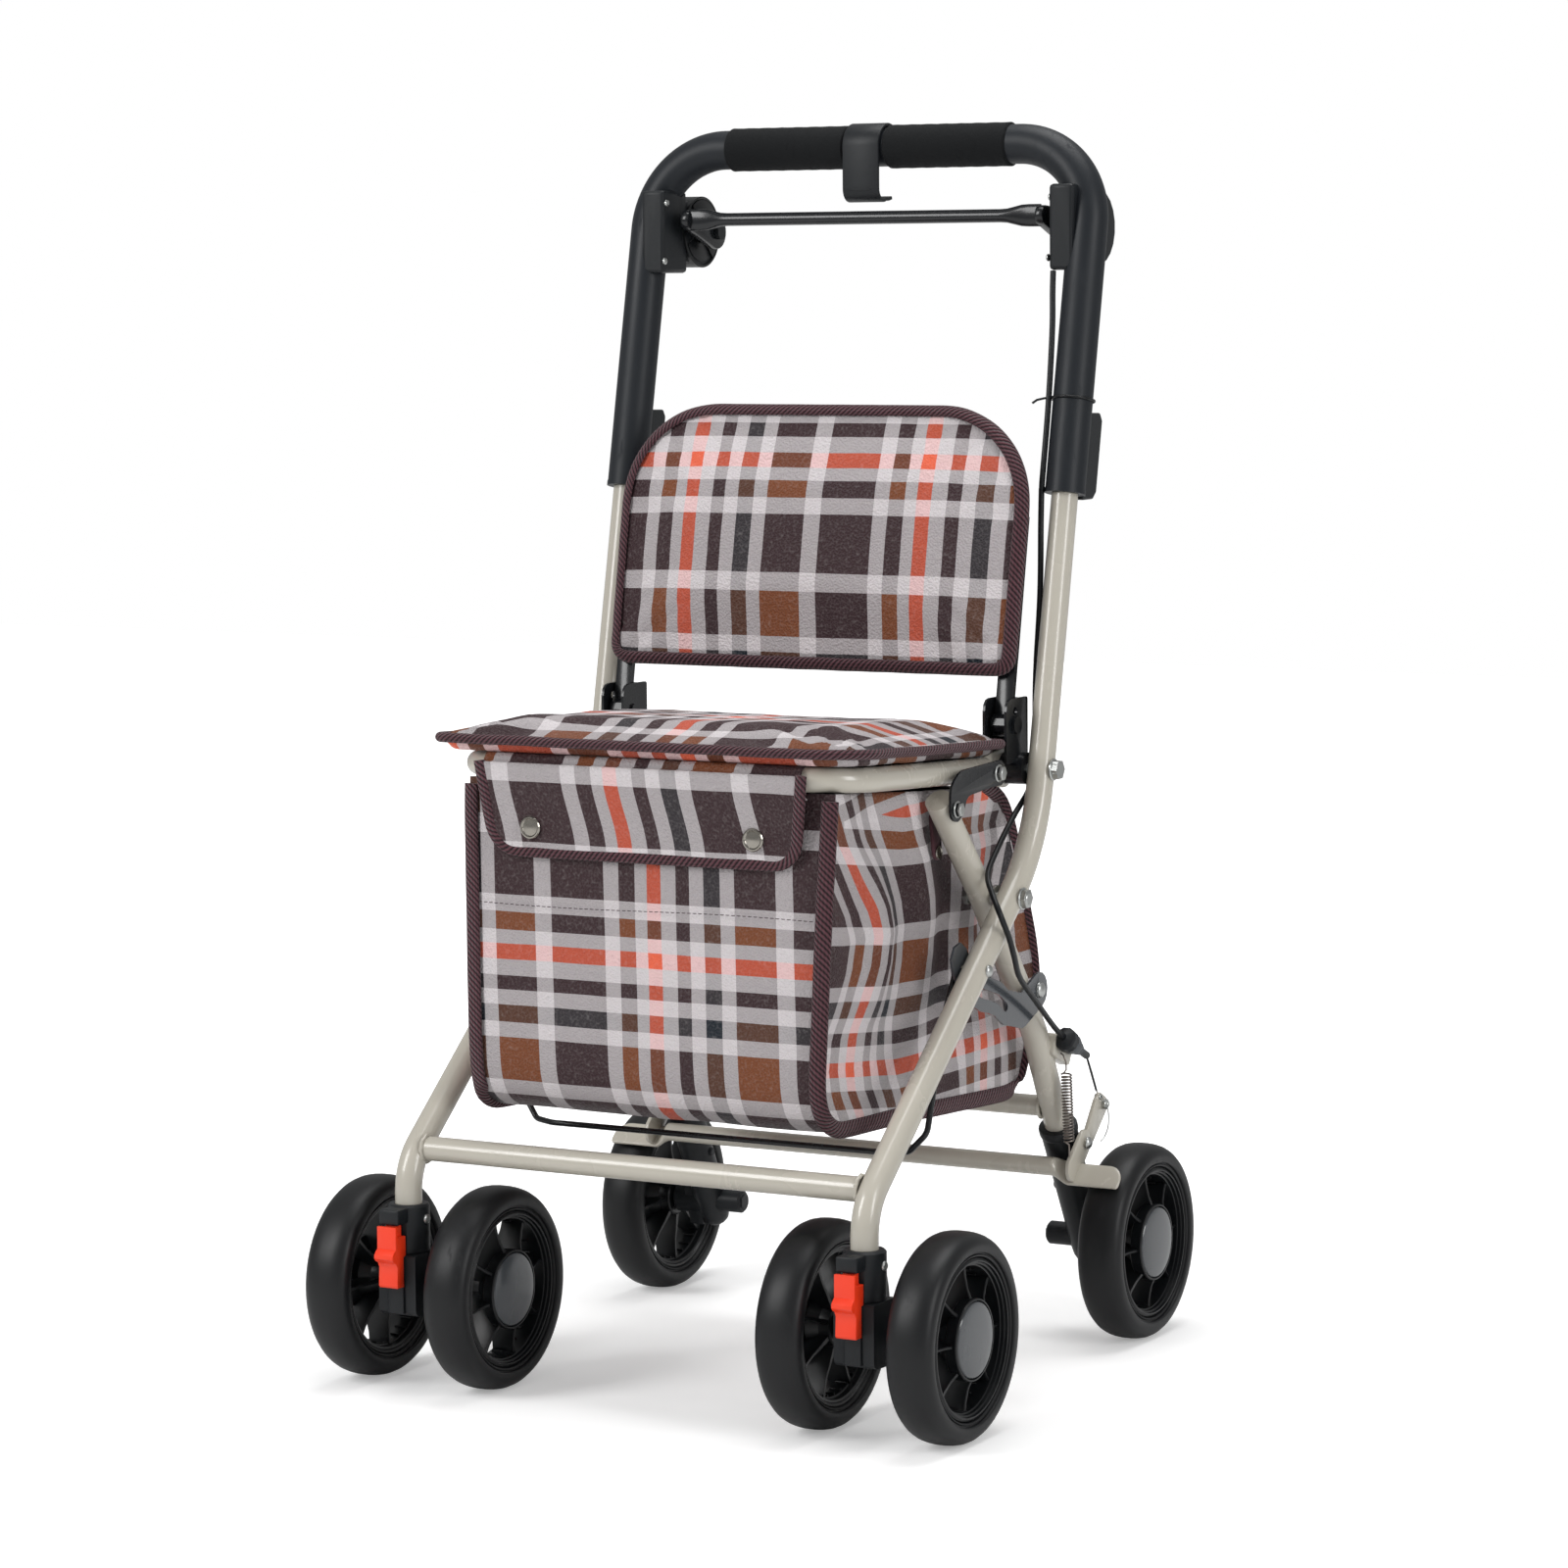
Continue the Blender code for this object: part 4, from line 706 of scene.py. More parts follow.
DARK_GREY = hard_finish("dark grey plastic", (62, 66, 70), 0.4, 2200.0, 0.3, vary=0.08, scuff=0.2,
                        specular=0.3)
print("hard finishes ready")

# %% Printed cloth
PLAID, tree, shader = new_material("printed tartan cloth", srgb(126, 108, 106), 0.5, specular=0.25)
calc = partial(math_node, tree)
place = tree.nodes.new("ShaderNodeTexCoord").outputs["UV"]
check = add_node(tree, "ShaderNodeGroup", place, plaid_group).outputs
# Pale flecks on the pebbles of the grain are painted highlights, mixed towards a pale colour.
painted_grain_glint = calc("MULTIPLY", calc("POWER", check["Grain"], 3.0), 0.14)
tree.links.new(mix_colour(tree, "MIX", painted_grain_glint, check["Color"], srgb(214, 208, 206)),
               shader.inputs["Base Color"])
tree.links.new(calc("ADD", calc("MULTIPLY", check["Pale"], 0.12), 0.42), shader.inputs["Roughness"])
bump(tree, shader, calc("ADD", check["Grain"], calc("MULTIPLY", check["Weave"], 0.5)), 0.9, 0.0014)
print(PLAID.name, "ready")

# %% Woven tape, lining and thread


def woven(name, colour, roughness, where, pitch, slant, shade, dark, light, relief=0.0, depth=0.0,
          specular=0.5, sheen=0.0, fleck=0.0):
    """Cloth of slanted ribs between two colours, mixed by the ribs' Height as painted shade in the grooves
    and painted light on the rib tops, or by Fleck as random tone.
    """
    mat, tree, shader = new_material(name, srgb(*colour), roughness, specular=specular)
    place = tree.nodes.new("ShaderNodeTexCoord").outputs[where]
    ribs = add_node(tree, "ShaderNodeGroup", place, tape_group, Pitch=pitch, Slant=slant).outputs
    # Mixed by Height, the two colours are painted shade in the rib grooves and painted light on the rib tops.
    shaded = mix_colour(tree, "MIX", ribs[shade], srgb(*dark), srgb(*light))
    if fleck:
        flecks = math_node(tree, "MULTIPLY", ribs["Fleck"], fleck)
        shaded = mix_colour(tree, "MULTIPLY", flecks, shaded, srgb(120, 100, 100))
    tree.links.new(shaded, shader.inputs["Base Color"])
    shader.inputs["Sheen Weight"].default_value = sheen
    if relief:
        bump(tree, shader, ribs["Height"], relief, depth)
    return mat


# Tape and thread are mixed by Height, with painted shade in the rib grooves and painted light on the rib
# tops; the lining is mixed by Fleck.
TAPE = woven("woven binding tape", (72, 42, 48), 0.8, "UV", 47.0, 1.2, "Height", (34, 16, 22), (108, 69, 77),
             1.0, 0.0013, specular=0.2, sheen=0.15, fleck=0.35)
LINING = woven("bag lining", (70, 66, 66), 0.85, "Object", 900.0, 1.0, "Fleck", (58, 54, 55), (84, 79, 79),
               0.4, 0.0003)
THREAD = woven("brown thread", (46, 30, 33), 0.7, "Object", 1400.0, 1.0, "Height", (34, 21, 24), (66, 45, 48))
print("cloth finishes ready")

# %% [markdown]
# ## Repeated parts with Geometry Nodes
# Spokes, screw heads, rivets, snaps and stitches repeat many times. A small node tree takes
# a mesh whose points say where the copies go and puts one copy on each, turned by angles
# and scaled by a size that the points store. The result is made a plain mesh at once, so
# that nothing is left to be worked out later.

# %% A tree that puts copies on points


def stored(tree, label, kind):
    """Read a value that the points store under a name."""
    node = tree.nodes.new("GeometryNodeInputNamedAttribute")
    node.data_type = kind
    node.inputs["Name"].default_value = label
    return node.outputs["Attribute"]


def scatter_tree(name, material):
    """Node tree: put the object given as Copy on every point, turned by its 'turn' and scaled by 'size'."""
    tree = bpy.data.node_groups.new(name, "GeometryNodeTree")
    face = tree.interface
    face.new_socket("Geometry", in_out="INPUT", socket_type="NodeSocketGeometry")
    face.new_socket("Copy", in_out="INPUT", socket_type="NodeSocketObject")
    face.new_socket("Scale", in_out="INPUT", socket_type="NodeSocketFloat").default_value = 1.0
    face.new_socket("Geometry", in_out="OUTPUT", socket_type="NodeSocketGeometry")
    inside = tree.nodes.new("NodeGroupInput").outputs
    outside = tree.nodes.new("NodeGroupOutput").inputs
    info = tree.nodes.new("GeometryNodeObjectInfo")
    copies = tree.nodes.new("GeometryNodeInstanceOnPoints")
    real = tree.nodes.new("GeometryNodeRealizeInstances")
    paint = tree.nodes.new("GeometryNodeSetMaterial")
    paint.inputs["Material"].default_value = material
    size = math_node(tree, "MULTIPLY", stored(tree, "size", "FLOAT"), inside["Scale"])
    for source, socket in ((inside["Geometry"], copies.inputs["Points"]),
                           (inside["Copy"], info.inputs["Object"]),
                           (info.outputs["Geometry"], copies.inputs["Instance"]),
                           (stored(tree, "turn", "FLOAT_VECTOR"), copies.inputs["Rotation"]),
                           (size, copies.inputs["Scale"]),
                           (copies.outputs["Instances"], real.inputs["Geometry"]),
                           (real.outputs["Geometry"], paint.inputs["Geometry"]),
                           (paint.outputs["Geometry"], outside["Geometry"])):
        tree.links.new(source, socket)
    return tree


def scatter(name, tree, copy, spots, body, scale=1.0):
    """Put a copy on each spot (x, y, z, turn, size) and keep the result as one plain piece."""
    mesh = bpy.data.meshes.new(name)
    mesh.from_pydata([tuple(c * MM for c in spot[:3]) for spot in spots], [], [])
    mesh.attributes.new("turn", "FLOAT_VECTOR", "POINT")
    mesh.attributes.new("size", "FLOAT", "POINT")
    for i, spot in enumerate(spots):
        mesh.attributes["turn"].data[i].vector = spot[3]
        mesh.attributes["size"].data[i].value = spot[4]
    piece = show(name, mesh)
    mod = piece.modifiers.new("copies", "NODES")
    mod.node_group = tree
    keys = {item.name: item.identifier for item in tree.interface.items_tree if item.in_out == "INPUT"}
    mod[keys["Copy"]] = copy
    mod[keys["Scale"]] = scale
    plain = bake(piece)
    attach(piece, body)
    print(name, len(spots), "copies", len(plain.polygons), "faces")
    return piece


zinc_tree = scatter_tree("zinc parts on points", ZINC)
chrome_tree = scatter_tree("chrome parts on points", CHROME)
thread_tree = scatter_tree("stitches on points", THREAD)
spoke_tree = scatter_tree("spokes round a hub", SMOOTH)
print("4 scatter trees ready")

# %% Screw heads, bolt heads and stitches to copy
ORIGIN = (0, 0, 0)


def template(name, draw):
    """A small mesh, drawn in millimetres about its own centre, that is copied later."""
    bm = bmesh.new()
    draw(bm)
    bmesh.ops.recalc_face_normals(bm, faces=bm.faces)
    return bpy.data.objects.new(name, mesh_of(bm, name, 32))


def euler_of(direction, spin=0.0):
    """Angles that turn the X axis to a direction."""
    quat = Vector((1, 0, 0)).rotation_difference(Vector(direction).normalized())
    return tuple((quat @ Matrix.Rotation(spin, 3, "X").to_quaternion()).to_euler())


def hex_head(bm):
    """A flanged hexagon head, 14 mm across its corners, with its face along +X."""
    lathe(bm, [(0, 0), (8.2, 0), (8.2, 0.7), (7.4, 1.3), (0, 1.3)], ORIGIN, seg=32)
    plate(bm, arc((0, 0), 7.0, 0, 60, 6), 1.0, 5.2, 0.5)
    lathe(bm, [(0, 5.2), (4.6, 5.2), (4.2, 5.6), (0, 5.7)], ORIGIN, seg=24)


def pan_head(bm):
    """A domed screw head, 9 mm wide, with a raised cross."""
    lathe(bm, [(0, 0), (4.5, 0), (4.5, 0.5), (4.2, 1.5), (3.2, 2.3), (1.6, 2.6), (0, 2.62)], ORIGIN, seg=28)
    for wide, tall in ((2.3, 0.42), (0.42, 2.3)):
        block(bm, (2.0, -wide, -tall), (2.72, wide, tall), 0.12, 1)


def dome_rivet(bm):
    """A domed rivet head, 11 mm wide."""
    lathe(bm, [(0, 0), (5.5, 0), (5.6, 0.5), (5.0, 1.7), (3.6, 2.8), (1.8, 3.4), (0, 3.5)], ORIGIN, seg=32)


def press_stud(bm):
    """A press stud: a domed cap, 14 mm wide, with a rolled rim."""
    lathe(bm, [(0, 0), (6.2, 0), (6.8, 0.5), (6.9, 1.3), (6.4, 2.0), (5.7, 2.1), (5.2, 1.6), (4.8, 1.1),
               (3.4, 1.25), (1.6, 1.5), (0, 1.55)], ORIGIN, seg=40)


def stitch_shape(bm):
    """One stitch, 3 mm long along X, rising from the cloth in the middle."""
    line = [(-1.6, 0, -0.15), (-1.0, 0, 0.28), (0, 0, 0.42), (1.0, 0, 0.28), (1.6, 0, -0.15)]
    sweep(bm, line, lambda i: ring_section((0.18, 0.3, 0.34, 0.3, 0.18)[i], 6), seed=(0, 1, 0))


HEX = template("hex_head", hex_head)
PAN = template("pan_head", pan_head)
DOME = template("dome_rivet", dome_rivet)
SNAP = template("press_stud", press_stud)
STITCH = template("stitch", stitch_shape)
print("5 templates ready")

# %% [markdown]
# ## Wheels
# All six wheels are one moulding: a solid rubber tyre with rounded shoulders on a deep
# plastic rim with eight thin spokes and a wide hub disc. The tyre and the rim's barrel are
# turned from profiles, and the spokes are copied round the hub by a node tree, because a
# maker also draws one spoke and repeats it.

# %% Profiles of tyre, rim and hub
TYRE_R = 75.0
CASTER_AXLE = (-185.0, TYRE_R)
REAR_AXLE = (185.0, TYRE_R)
SPOKES = 8
half_tyre = [(57.6, -13.6), (58.4, -15.6), (59.4, -16.2), (60.2, -15.2), (60.9, -15.2), (61.4, -16.9),
             (62.4, -17.6), (64.6, -17.9), (67.6, -17.6), (70.2, -16.3), (72.3, -13.9), (73.8, -10.6),
             (74.6, -6.8), (74.95, -3.0)]
tyre_profile = half_tyre + [(r, -t) for r, t in reversed(half_tyre)]
rim_profile = [(57.2, -14.2), (57.2, 14.6), (55.6, 15.6), (54.6, 15.6), (54.2, 13.6), (53.0, 13.2),
               (52.6, 11.0), (51.6, 10.6), (51.2, 2.0), (50.6, -2.0), (51.4, -8.0), (52.6, -8.6),
               (53.0, -12.6), (54.6, -13.0), (55.4, -14.2)]
hub_profile = [(5.2, -13.0), (14.0, -13.0), (15.0, -12.0), (15.4, -4.0), (20.5, 4.0), (28.4, 7.6),
               (29.3, 8.6), (29.4, 16.4), (28.9, 17.2), (27.9, 17.4), (27.4, 16.6), (27.2, 14.8),
               (0.0, 14.8), (0.0, -12.6), (5.2, -12.6)]
cap_profile = [(26.9, 14.6), (26.9, 16.8), (26.3, 17.5), (24.0, 17.95), (18.0, 18.5), (9.0, 18.95),
               (0.0, 19.1), (0.0, 14.6)]
print("tyre radius", TYRE_R, "mm")

# %% Spokes


def spoke(bm):
    """One spoke: a thin rib from the hub to the barrel, deeper in the middle, drawn along +Z."""
    rings = []
    for r, half, low, high in ((15.6, 1.8, -11.5, 3.4), (28.6, 1.3, -10.0, 14.6), (36.0, 1.05, -8.8, 11.6),
                               (45.0, 1.05, -8.6, 9.8), (52.4, 1.5, -9.0, 9.4)):
        section = ((low, -half), (high - 0.6, -half), (high, -half * 0.55), (high, half * 0.55),
                   (high - 0.6, half), (low, half))
        rings.append([bm.verts.new((t, y, r)) for t, y in section])
    skin(bm, rings)


def back_rib(bm):
    """A low rib on the barrel's inner wall, between two spokes."""
    block(bm, (-8.0, -0.7, 49.6), (1.6, 0.7, 52.4), 0.3, 1)


def ring_spots(centre, outward, seed, count):
    """Spots all round a hub, turned to the side of its cap."""
    spots = []
    for k in range(count):
        turn = Matrix.Rotation(2 * math.pi * (k + seed) / count, 3, "X")
        if outward < 0:
            turn = turn @ Matrix.Rotation(math.pi, 3, "Z")
        spots.append((*centre, tuple(turn.to_euler()), 1.0))
    return spots


SPOKE = template("spoke", spoke)
RIB = template("back_rib", back_rib)
print(SPOKES, "spokes and", 4 * SPOKES, "ribs a wheel")

# %% Six wheels


def wheel(name, x, axle, outward, seed):
    """One wheel with its tyre, rim, cap, spokes and ribs; outward is the side of the hub disc."""
    body = home[name + "_tyre"]
    centre = (x, *axle)
    turned_part = partial(lathe, centre=centre, closed=True, flip=outward)
    bm = bmesh.new()
    turned_part(bm, tyre_profile, seg=96)
    finish(bm, "rubber_" + name, RUBBER, body, name + "_tyre", crease=24.0)
    bm = bmesh.new()
    turned_part(bm, rim_profile, seg=72)
    turned_part(bm, hub_profile, seg=48)
    finish(bm, "moulded_" + name, SMOOTH, body, name + "_rim", crease=28.0)
    bm = bmesh.new()
    turned_part(bm, cap_profile, seg=64)
    finish(bm, "cap_" + name, CAP, body, crease=28.0)
    scatter("spokes_" + name, spoke_tree, SPOKE, ring_spots(centre, outward, seed, SPOKES), body)
    scatter("ribs_" + name, spoke_tree, RIB, ring_spots(centre, outward, seed + 0.5, 4 * SPOKES), body)


for i, (side, s) in enumerate(SIDES):
    wheel(side + "_outer_caster", s * 241.1, CASTER_AXLE, s, 0.06 - 0.06 * i)
    wheel(side + "_inner_caster", s * 137.9, CASTER_AXLE, -s, 0.3 + 0.3 * i)
    wheel(side + "_rear", s * 210.0, REAR_AXLE, s, 0.08)
print("six wheels with", SPOKES, "spokes each")

# %% [markdown]
# ## Painted steel frame
# Each side of the frame is one tube: an upright that bends into the front leg and ends in
# the caster socket. The rear legs cross behind it. The tubes are swept along the same
# routes as the CAD, with enough sides to look round, and a small weld bead closes each
# joint, as on the real frame.

# %% Routes of the frame tubes
SEAT_PIVOT = (62.6, 449.0)
CROSS_PIVOT = (10.6, 359.0)
LINK_TOP = (14.0, 450.0)
LINK_FOOT = (-53.0, 430.0)
PLATE_RIVET = (80.6, 281.0)
KNEE = (97.0, 246.0)
FOOT = (149.0, 145.0)
FRAME_X = 189.5
REAR_X = 166.5
STEM_Y = -219.0
STEM_Z = 112.3
SLEEVE_Z = 722.0
RAKE = 0.205
LEG_RISE = 0.8327
TUBE_R = 10.0
HOOP_R = 9.0


def rake_y(z):
    """Depth of the upright's axis at height z."""
    return SEAT_PIVOT[0] + RAKE * (z - SEAT_PIVOT[1])


def leg_z(y):
    """Height of the front leg's axis at depth y."""
    return CROSS_PIVOT[1] + LEG_RISE * (y - CROSS_PIVOT[0])


def side_route(s):
    """Side tube from the caster socket to the upper end of the upright."""
    gap = CROSS_PIVOT[1] - SEAT_PIVOT[1] - LEG_RISE * CROSS_PIVOT[0] + SEAT_PIVOT[0] / RAKE
    corner = gap / (1 / RAKE - LEG_RISE)
    x = s * FRAME_X
    return rounded([(x, STEM_Y, STEM_Z), (x, STEM_Y, leg_z(STEM_Y)), (x, corner, leg_z(corner)),
                    (x, rake_y(SLEEVE_Z), SLEEVE_Z)], [45.0, 140.0], 4.0)


def rear_route(s):
    """Rear leg from the fold link over the cross bolt and its knee to the foot."""
    x = s * REAR_X
    top = Vector((0, -63.6, 71.0)).normalized()
    return rounded([(x, LINK_FOOT[0] + 9.0 * top.y, LINK_FOOT[1] + 9.0 * top.z), (x, *CROSS_PIVOT),
                    (x, *KNEE), (x, *FOOT)], [140.0, 70.0], 4.0)


def weld(bm, centre, axis, radius, seed=0):
    """An uneven bead round the end of a bar."""
    pts = []
    side = Vector(axis).orthogonal().normalized()
    over = Vector(axis).cross(side).normalized()
    for k in range(40):
        a = 2 * math.pi * k / 40
        wave = 1.0 + 0.035 * math.sin(9 * a + seed) + 0.02 * math.sin(17 * a)
        pts.append(Vector(centre) + (side * math.cos(a) + over * math.sin(a)) * radius * wave)
    bar(bm, pts, 1.5, 8, loop=True)


print("upright leans", RAKE, "and the front leg rises", LEG_RISE)

# %% Side tubes and rear legs
BODY_RIVET_Y = -45.0
for side, s in SIDES:
    bm = bmesh.new()
    bar(bm, side_route(s), TUBE_R, 32)
    pin(bm, (BODY_RIVET_Y, leg_z(BODY_RIVET_Y)), 2.9, s * (FRAME_X - 18.0), s * (FRAME_X + 10.0), 16)
    finish(bm, side + "_bent_side_tube", BEIGE, "frame", side + "_side_tube", crease=40.0)
    bm = bmesh.new()
    bar(bm, rear_route(s), TUBE_R, 32)
    if s > 0:
        plate(bm, outline([(102.0, 229.0), (131.0, 216.0), (138.0, 230.0), (109.0, 245.0)], 3.0), 170.5,
              179.3, 0.8)
    finish(bm, side + "_bent_rear_leg", BEIGE, "rear_frame", side + "_rear_leg", crease=40.0)
print("side tubes and rear legs done")

# %% Cross tubes with their welds
FRONT_TUBE_Z = 178.5
REAR_TUBE_Z = 184.2
front_y = CROSS_PIVOT[0] + (FRONT_TUBE_Z - CROSS_PIVOT[1]) / LEG_RISE
rear_y = KNEE[0] + (REAR_TUBE_Z - KNEE[1]) * (FOOT[0] - KNEE[0]) / (FOOT[1] - KNEE[1])
for name, y, z, half, weld_x, radius, body, node in (
        ("welded_front_tube", front_y, FRONT_TUBE_Z, 180.2, 180.4, 9.0, "frame", "front_cross_tube"),
        ("welded_rear_tube", rear_y, REAR_TUBE_Z, 157.3, 157.4, 8.0, "rear_frame", "rear_cross_tube")):
    bm = bmesh.new()
    bar(bm, [(-half, y, z), (half, y, z)], radius, 32)
    for s in BOTH:
        weld(bm, (s * weld_x, y, z), (1, 0, 0), radius + 0.6, s)
    finish(bm, name, BEIGE, body, node, crease=40.0)
print("cross tubes done")

# %% Seat hoop with its lugs
HOOP_X = 162.0
HOOP_FRONT = -190.0
HOOP_REAR = 23.0


def arm_z(y):
    """Height of the seat hoop's axis at depth y."""
    return SEAT_PIVOT[1] + 0.0524 * (SEAT_PIVOT[0] - y)


def capsule(a, b, ra, rb, n=12):
    """Outline that wraps a round end about each of two side view points."""
    base = math.atan2(b[1] - a[1], b[0] - a[0])
    lean = math.asin((ra - rb) / math.dist(a, b))
    out = []
    for centre, radius, first, sweep_angle in ((a, ra, base + math.pi / 2 - lean, math.pi + 2 * lean),
                                               (b, rb, base - math.pi / 2 + lean, math.pi - 2 * lean)):
        for k in range(n + 1):
            t = first + sweep_angle * k / n
            out.append((centre[0] + radius * math.cos(t), centre[1] + radius * math.sin(t)))
    return out


bm = bmesh.new()
hoop = [(x, y, arm_z(y)) for x, y in ((HOOP_X, HOOP_REAR), (HOOP_X, HOOP_FRONT), (-HOOP_X, HOOP_FRONT),
                                      (-HOOP_X, HOOP_REAR))]
bar(bm, rounded(hoop, 46.0, 5.0), HOOP_R, 32)
for s in BOTH:
    plate(bm, capsule(SEAT_PIVOT, LINK_TOP, 15.0, 8.0), s * 156.6, s * 159.6, 0.6)
    lathe(bm, [(0, 0), (7.6, 0), (6.8, 1.6), (4.0, 2.6), (0, 2.9)],
          (s * HOOP_X, HOOP_REAR, arm_z(HOOP_REAR)), "Y", 24)
finish(bm, "bent_seat_hoop", BEIGE, "seat", "seat_frame", crease=40.0)
print("frame tubes done")

# %% [markdown]
# ## Pressed and moulded joints
# Brackets, links and sockets keep the shape of the CAD solids. A merged copy of each gets
# small rounded edges, which is what catches the light on a real moulding, and the finish
# of its material. Sliders and rear sleeves have finer forms of their own. Screws and
# rivets come on top by the node tree.

# %% Sliders that lock the casters
slider_line = [(-17.0, 118.4), (-27.8, 118.4), (-27.8, 126.4), (-30.2, 126.4), (-30.4, 110.0), (-32.4, 108.6),
               (-34.6, 106.0), (-34.8, 103.4), (-33.4, 101.4), (-30.0, 99.6), (-28.2, 96.0), (-28.6, 90.0),
               (-29.0, 82.4), (-28.0, 81.0), (-20.0, 81.0), (-20.0, 102.9), (-17.0, 103.9)]
for side, s in SIDES:
    x = s * FRAME_X
    bm = bmesh.new()
    plate(bm, [(STEM_Y + y, z) for y, z in slider_line], x - 8.2, x + 8.2, 0.6)
    block(bm, (x - 4.6, STEM_Y - 24.4, 116.0), (x + 4.6, STEM_Y - 17.2, 126.6), 0.6)
    finish(bm, side + "_lock_slider", ORANGE, side + "_lock", side + "_swivel_lock", crease=30.0)
print("lock sliders done")

# %% Brackets, links, plates and bolts
for side, s in SIDES:
    for node, material, edge in (("fold_link", PRESSED, 0.5), ("stay_plate", PLATE, 0.4),
                                 ("caster_socket", BLACK, 0.6), ("caster_fork", BLACK, 0.8),
                                 ("cross_bolt", ZINC, 0.3), ("height_lock", BLACK, 1.2),
                                 ("height_button", ORANGE, 0.6)):
        dress(side + "_" + node, material, edge)
dress("seat_pivot_tube", PRESSED, 0.4)
dress("seat_pivot_rod", ZINC, 0.4)
dress("backrest_frame", PRESSED, 0.6)
dress("cable_adjuster", BLACK, 0.6)
print("joints dressed")

# %% Housings of the rear wheels
BRAKE_PIVOT = (144.0, 155.6)
BRAKE_BAR = (125.0, 139.0)


def leg_line(s, z):
    """Point on the rear leg's straight lower line at height z."""
    return Vector((s * REAR_X, KNEE[0] - (z - KNEE[1]) * 52.0 / 101.0, z))


sleeve_marks = [(169.6, 13.6), (169.4, 14.6), (168.4, 15.1), (164.4, 15.1), (163.2, 14.7), (162.6, 14.2),
                (150.0, 13.9), (120.0, 13.3), (96.0, 12.9), (70.0, 12.5), (63.0, 11.8), (58.6, 10.2),
                (56.4, 7.8), (55.6, 4.0)]
for side, s in SIDES:
    bm = bmesh.new()
    sweep(bm, [leg_line(s, z) for z, r in sleeve_marks], lambda i: ring_section(sleeve_marks[i][1], 48))
    axle = leg_line(s, TYRE_R)
    for radius, near, far, sides, edge in ((9.0, 136.0, 160.0, 32, 1.6), (6.4, 135.0, 138.0, 6, 0.5),
                                           (12.0, 170.0, 195.4, 32, 1.0)):
        pin(bm, axle.yz, radius, s * near, s * far, sides, edge)
    pin(bm, BRAKE_PIVOT, 7.0, s * 168.0, s * 182.0, 28, 0.8)
    for lean in BOTH:
        foot_y = axle.y + 2.2 * lean
        rib = [(foot_y + 0.9, 64.0 + 10 * lean), (foot_y - 0.9, 64.0 + 10 * lean),
               (axle.y - 15.0 + 2.2 * lean, 104.0 + 8 * lean), (axle.y - 13.0 + 2.2 * lean, 104.0 + 8 * lean)]
        plate(bm, rib, s * 172.0, s * 184.0, 0.4)
    pin(bm, leg_line(s, 118.0).yz, 3.4, s * 151.4, s * 160.0, 20, 0.8)
    finish(bm, side + "_housing_sleeve", BLACK, "rear_frame", side + "_wheel_housing", crease=34.0)
print("wheel housings done")

# %% [markdown]
# The rear brake is one tube, pressed flat to a blade where it meets each tyre. Its rings
# are worked out one by one, so that round turns to flat without a seam. Two plates hang it
# on its pivot, and the right one has an arm for the cable.

# %% Rings of the brake tube
reach = math.dist(BRAKE_BAR, REAR_AXLE)
OUT = ((BRAKE_BAR[0] - REAR_AXLE[0]) / reach, (BRAKE_BAR[1] - REAR_AXLE[1]) / reach)
PAD_LINE = TYRE_R + 4.8 - reach
BLADE_X = 210.5
BLADE_END = 11.5


def brake_ring(bm, x, flat, low, high, count=32):
    """Ring of the brake tube at x: round for flat 0, a flat blade from low to high for flat 1."""
    ring = []
    for k in range(count):
        a = 2 * math.pi * (k + 0.5) / count
        c = math.cos(a)
        d = math.sin(a)
        wide = (low + high) / 2 + (high - low) / 2 * math.copysign(abs(c) ** 0.55, c)
        along = 7.2 * c * (1 - flat) + wide * flat
        off = 7.2 * d * (1 - flat) + (PAD_LINE + 1.6 * math.copysign(abs(d) ** 0.35, d)) * flat
        ring.append(bm.verts.new((x, BRAKE_BAR[0] + OUT[0] * off + OUT[1] * along,
                                  BRAKE_BAR[1] + OUT[1] * off - OUT[0] * along)))
    return ring


ends = []
for k in range(11):
    t = k / 10.0
    ends.append((168.0 + 13.6 * t, t * t * (3.0 - 2.0 * t), -10.0, 10.0))
ends += [(196.0, 1.0, -10.0, 10.0), (BLADE_X, 1.0, -10.0, 10.0)]
for k in range(1, 10):
    t = math.radians(10.0 * k)
    low = -10.0 + 1.6 * max(0.0, k - 6) / 3.0 * math.sin(t) ** 6
    ends.append((BLADE_X + BLADE_END * math.sin(t), 1.0, low, 10.0 - BLADE_END * (1 - math.cos(t))))
print(2 * len(ends), "rings for the brake tube")

# %% Rear brake
bm = bmesh.new()
rows = [brake_ring(bm, -x, *rest) for x, *rest in reversed(ends)] + [brake_ring(bm, x, *rest) for x,
                                                                     *rest in ends]
skin(bm, rows)
for s in BOTH:
    plate(bm, capsule(BRAKE_PIVOT, BRAKE_BAR, 10.0, 10.4, 14), s * 183.2, s * 186.4, 0.5)
    pin(bm, BRAKE_PIVOT, 3.0, s * 178.2, s * 187.6, 20)
arm = outline([(134.6, 148.2), (151.4, 148.2), (183.6, 176.0), (182.2, 184.6), (170.4, 190.8),
               (163.2, 185.4)], [3.0, 8.0, 3.5, 3.0, 3.0, 4.0])
plate(bm, arm, 183.3, 186.3, 0.5)
finish(bm, "pressed_brake_tube", BEIGE, "rear_brake", "brake_tube", crease=34.0)
print("rear brake done")

# %% Bolt heads, rivets and screws


def pair(x, point, spin, size):
    """The same spot on both sides, facing outwards."""
    return [(s * x, *point, euler_of((s, 0, 0), spin), size) for s in (-1, 1)]


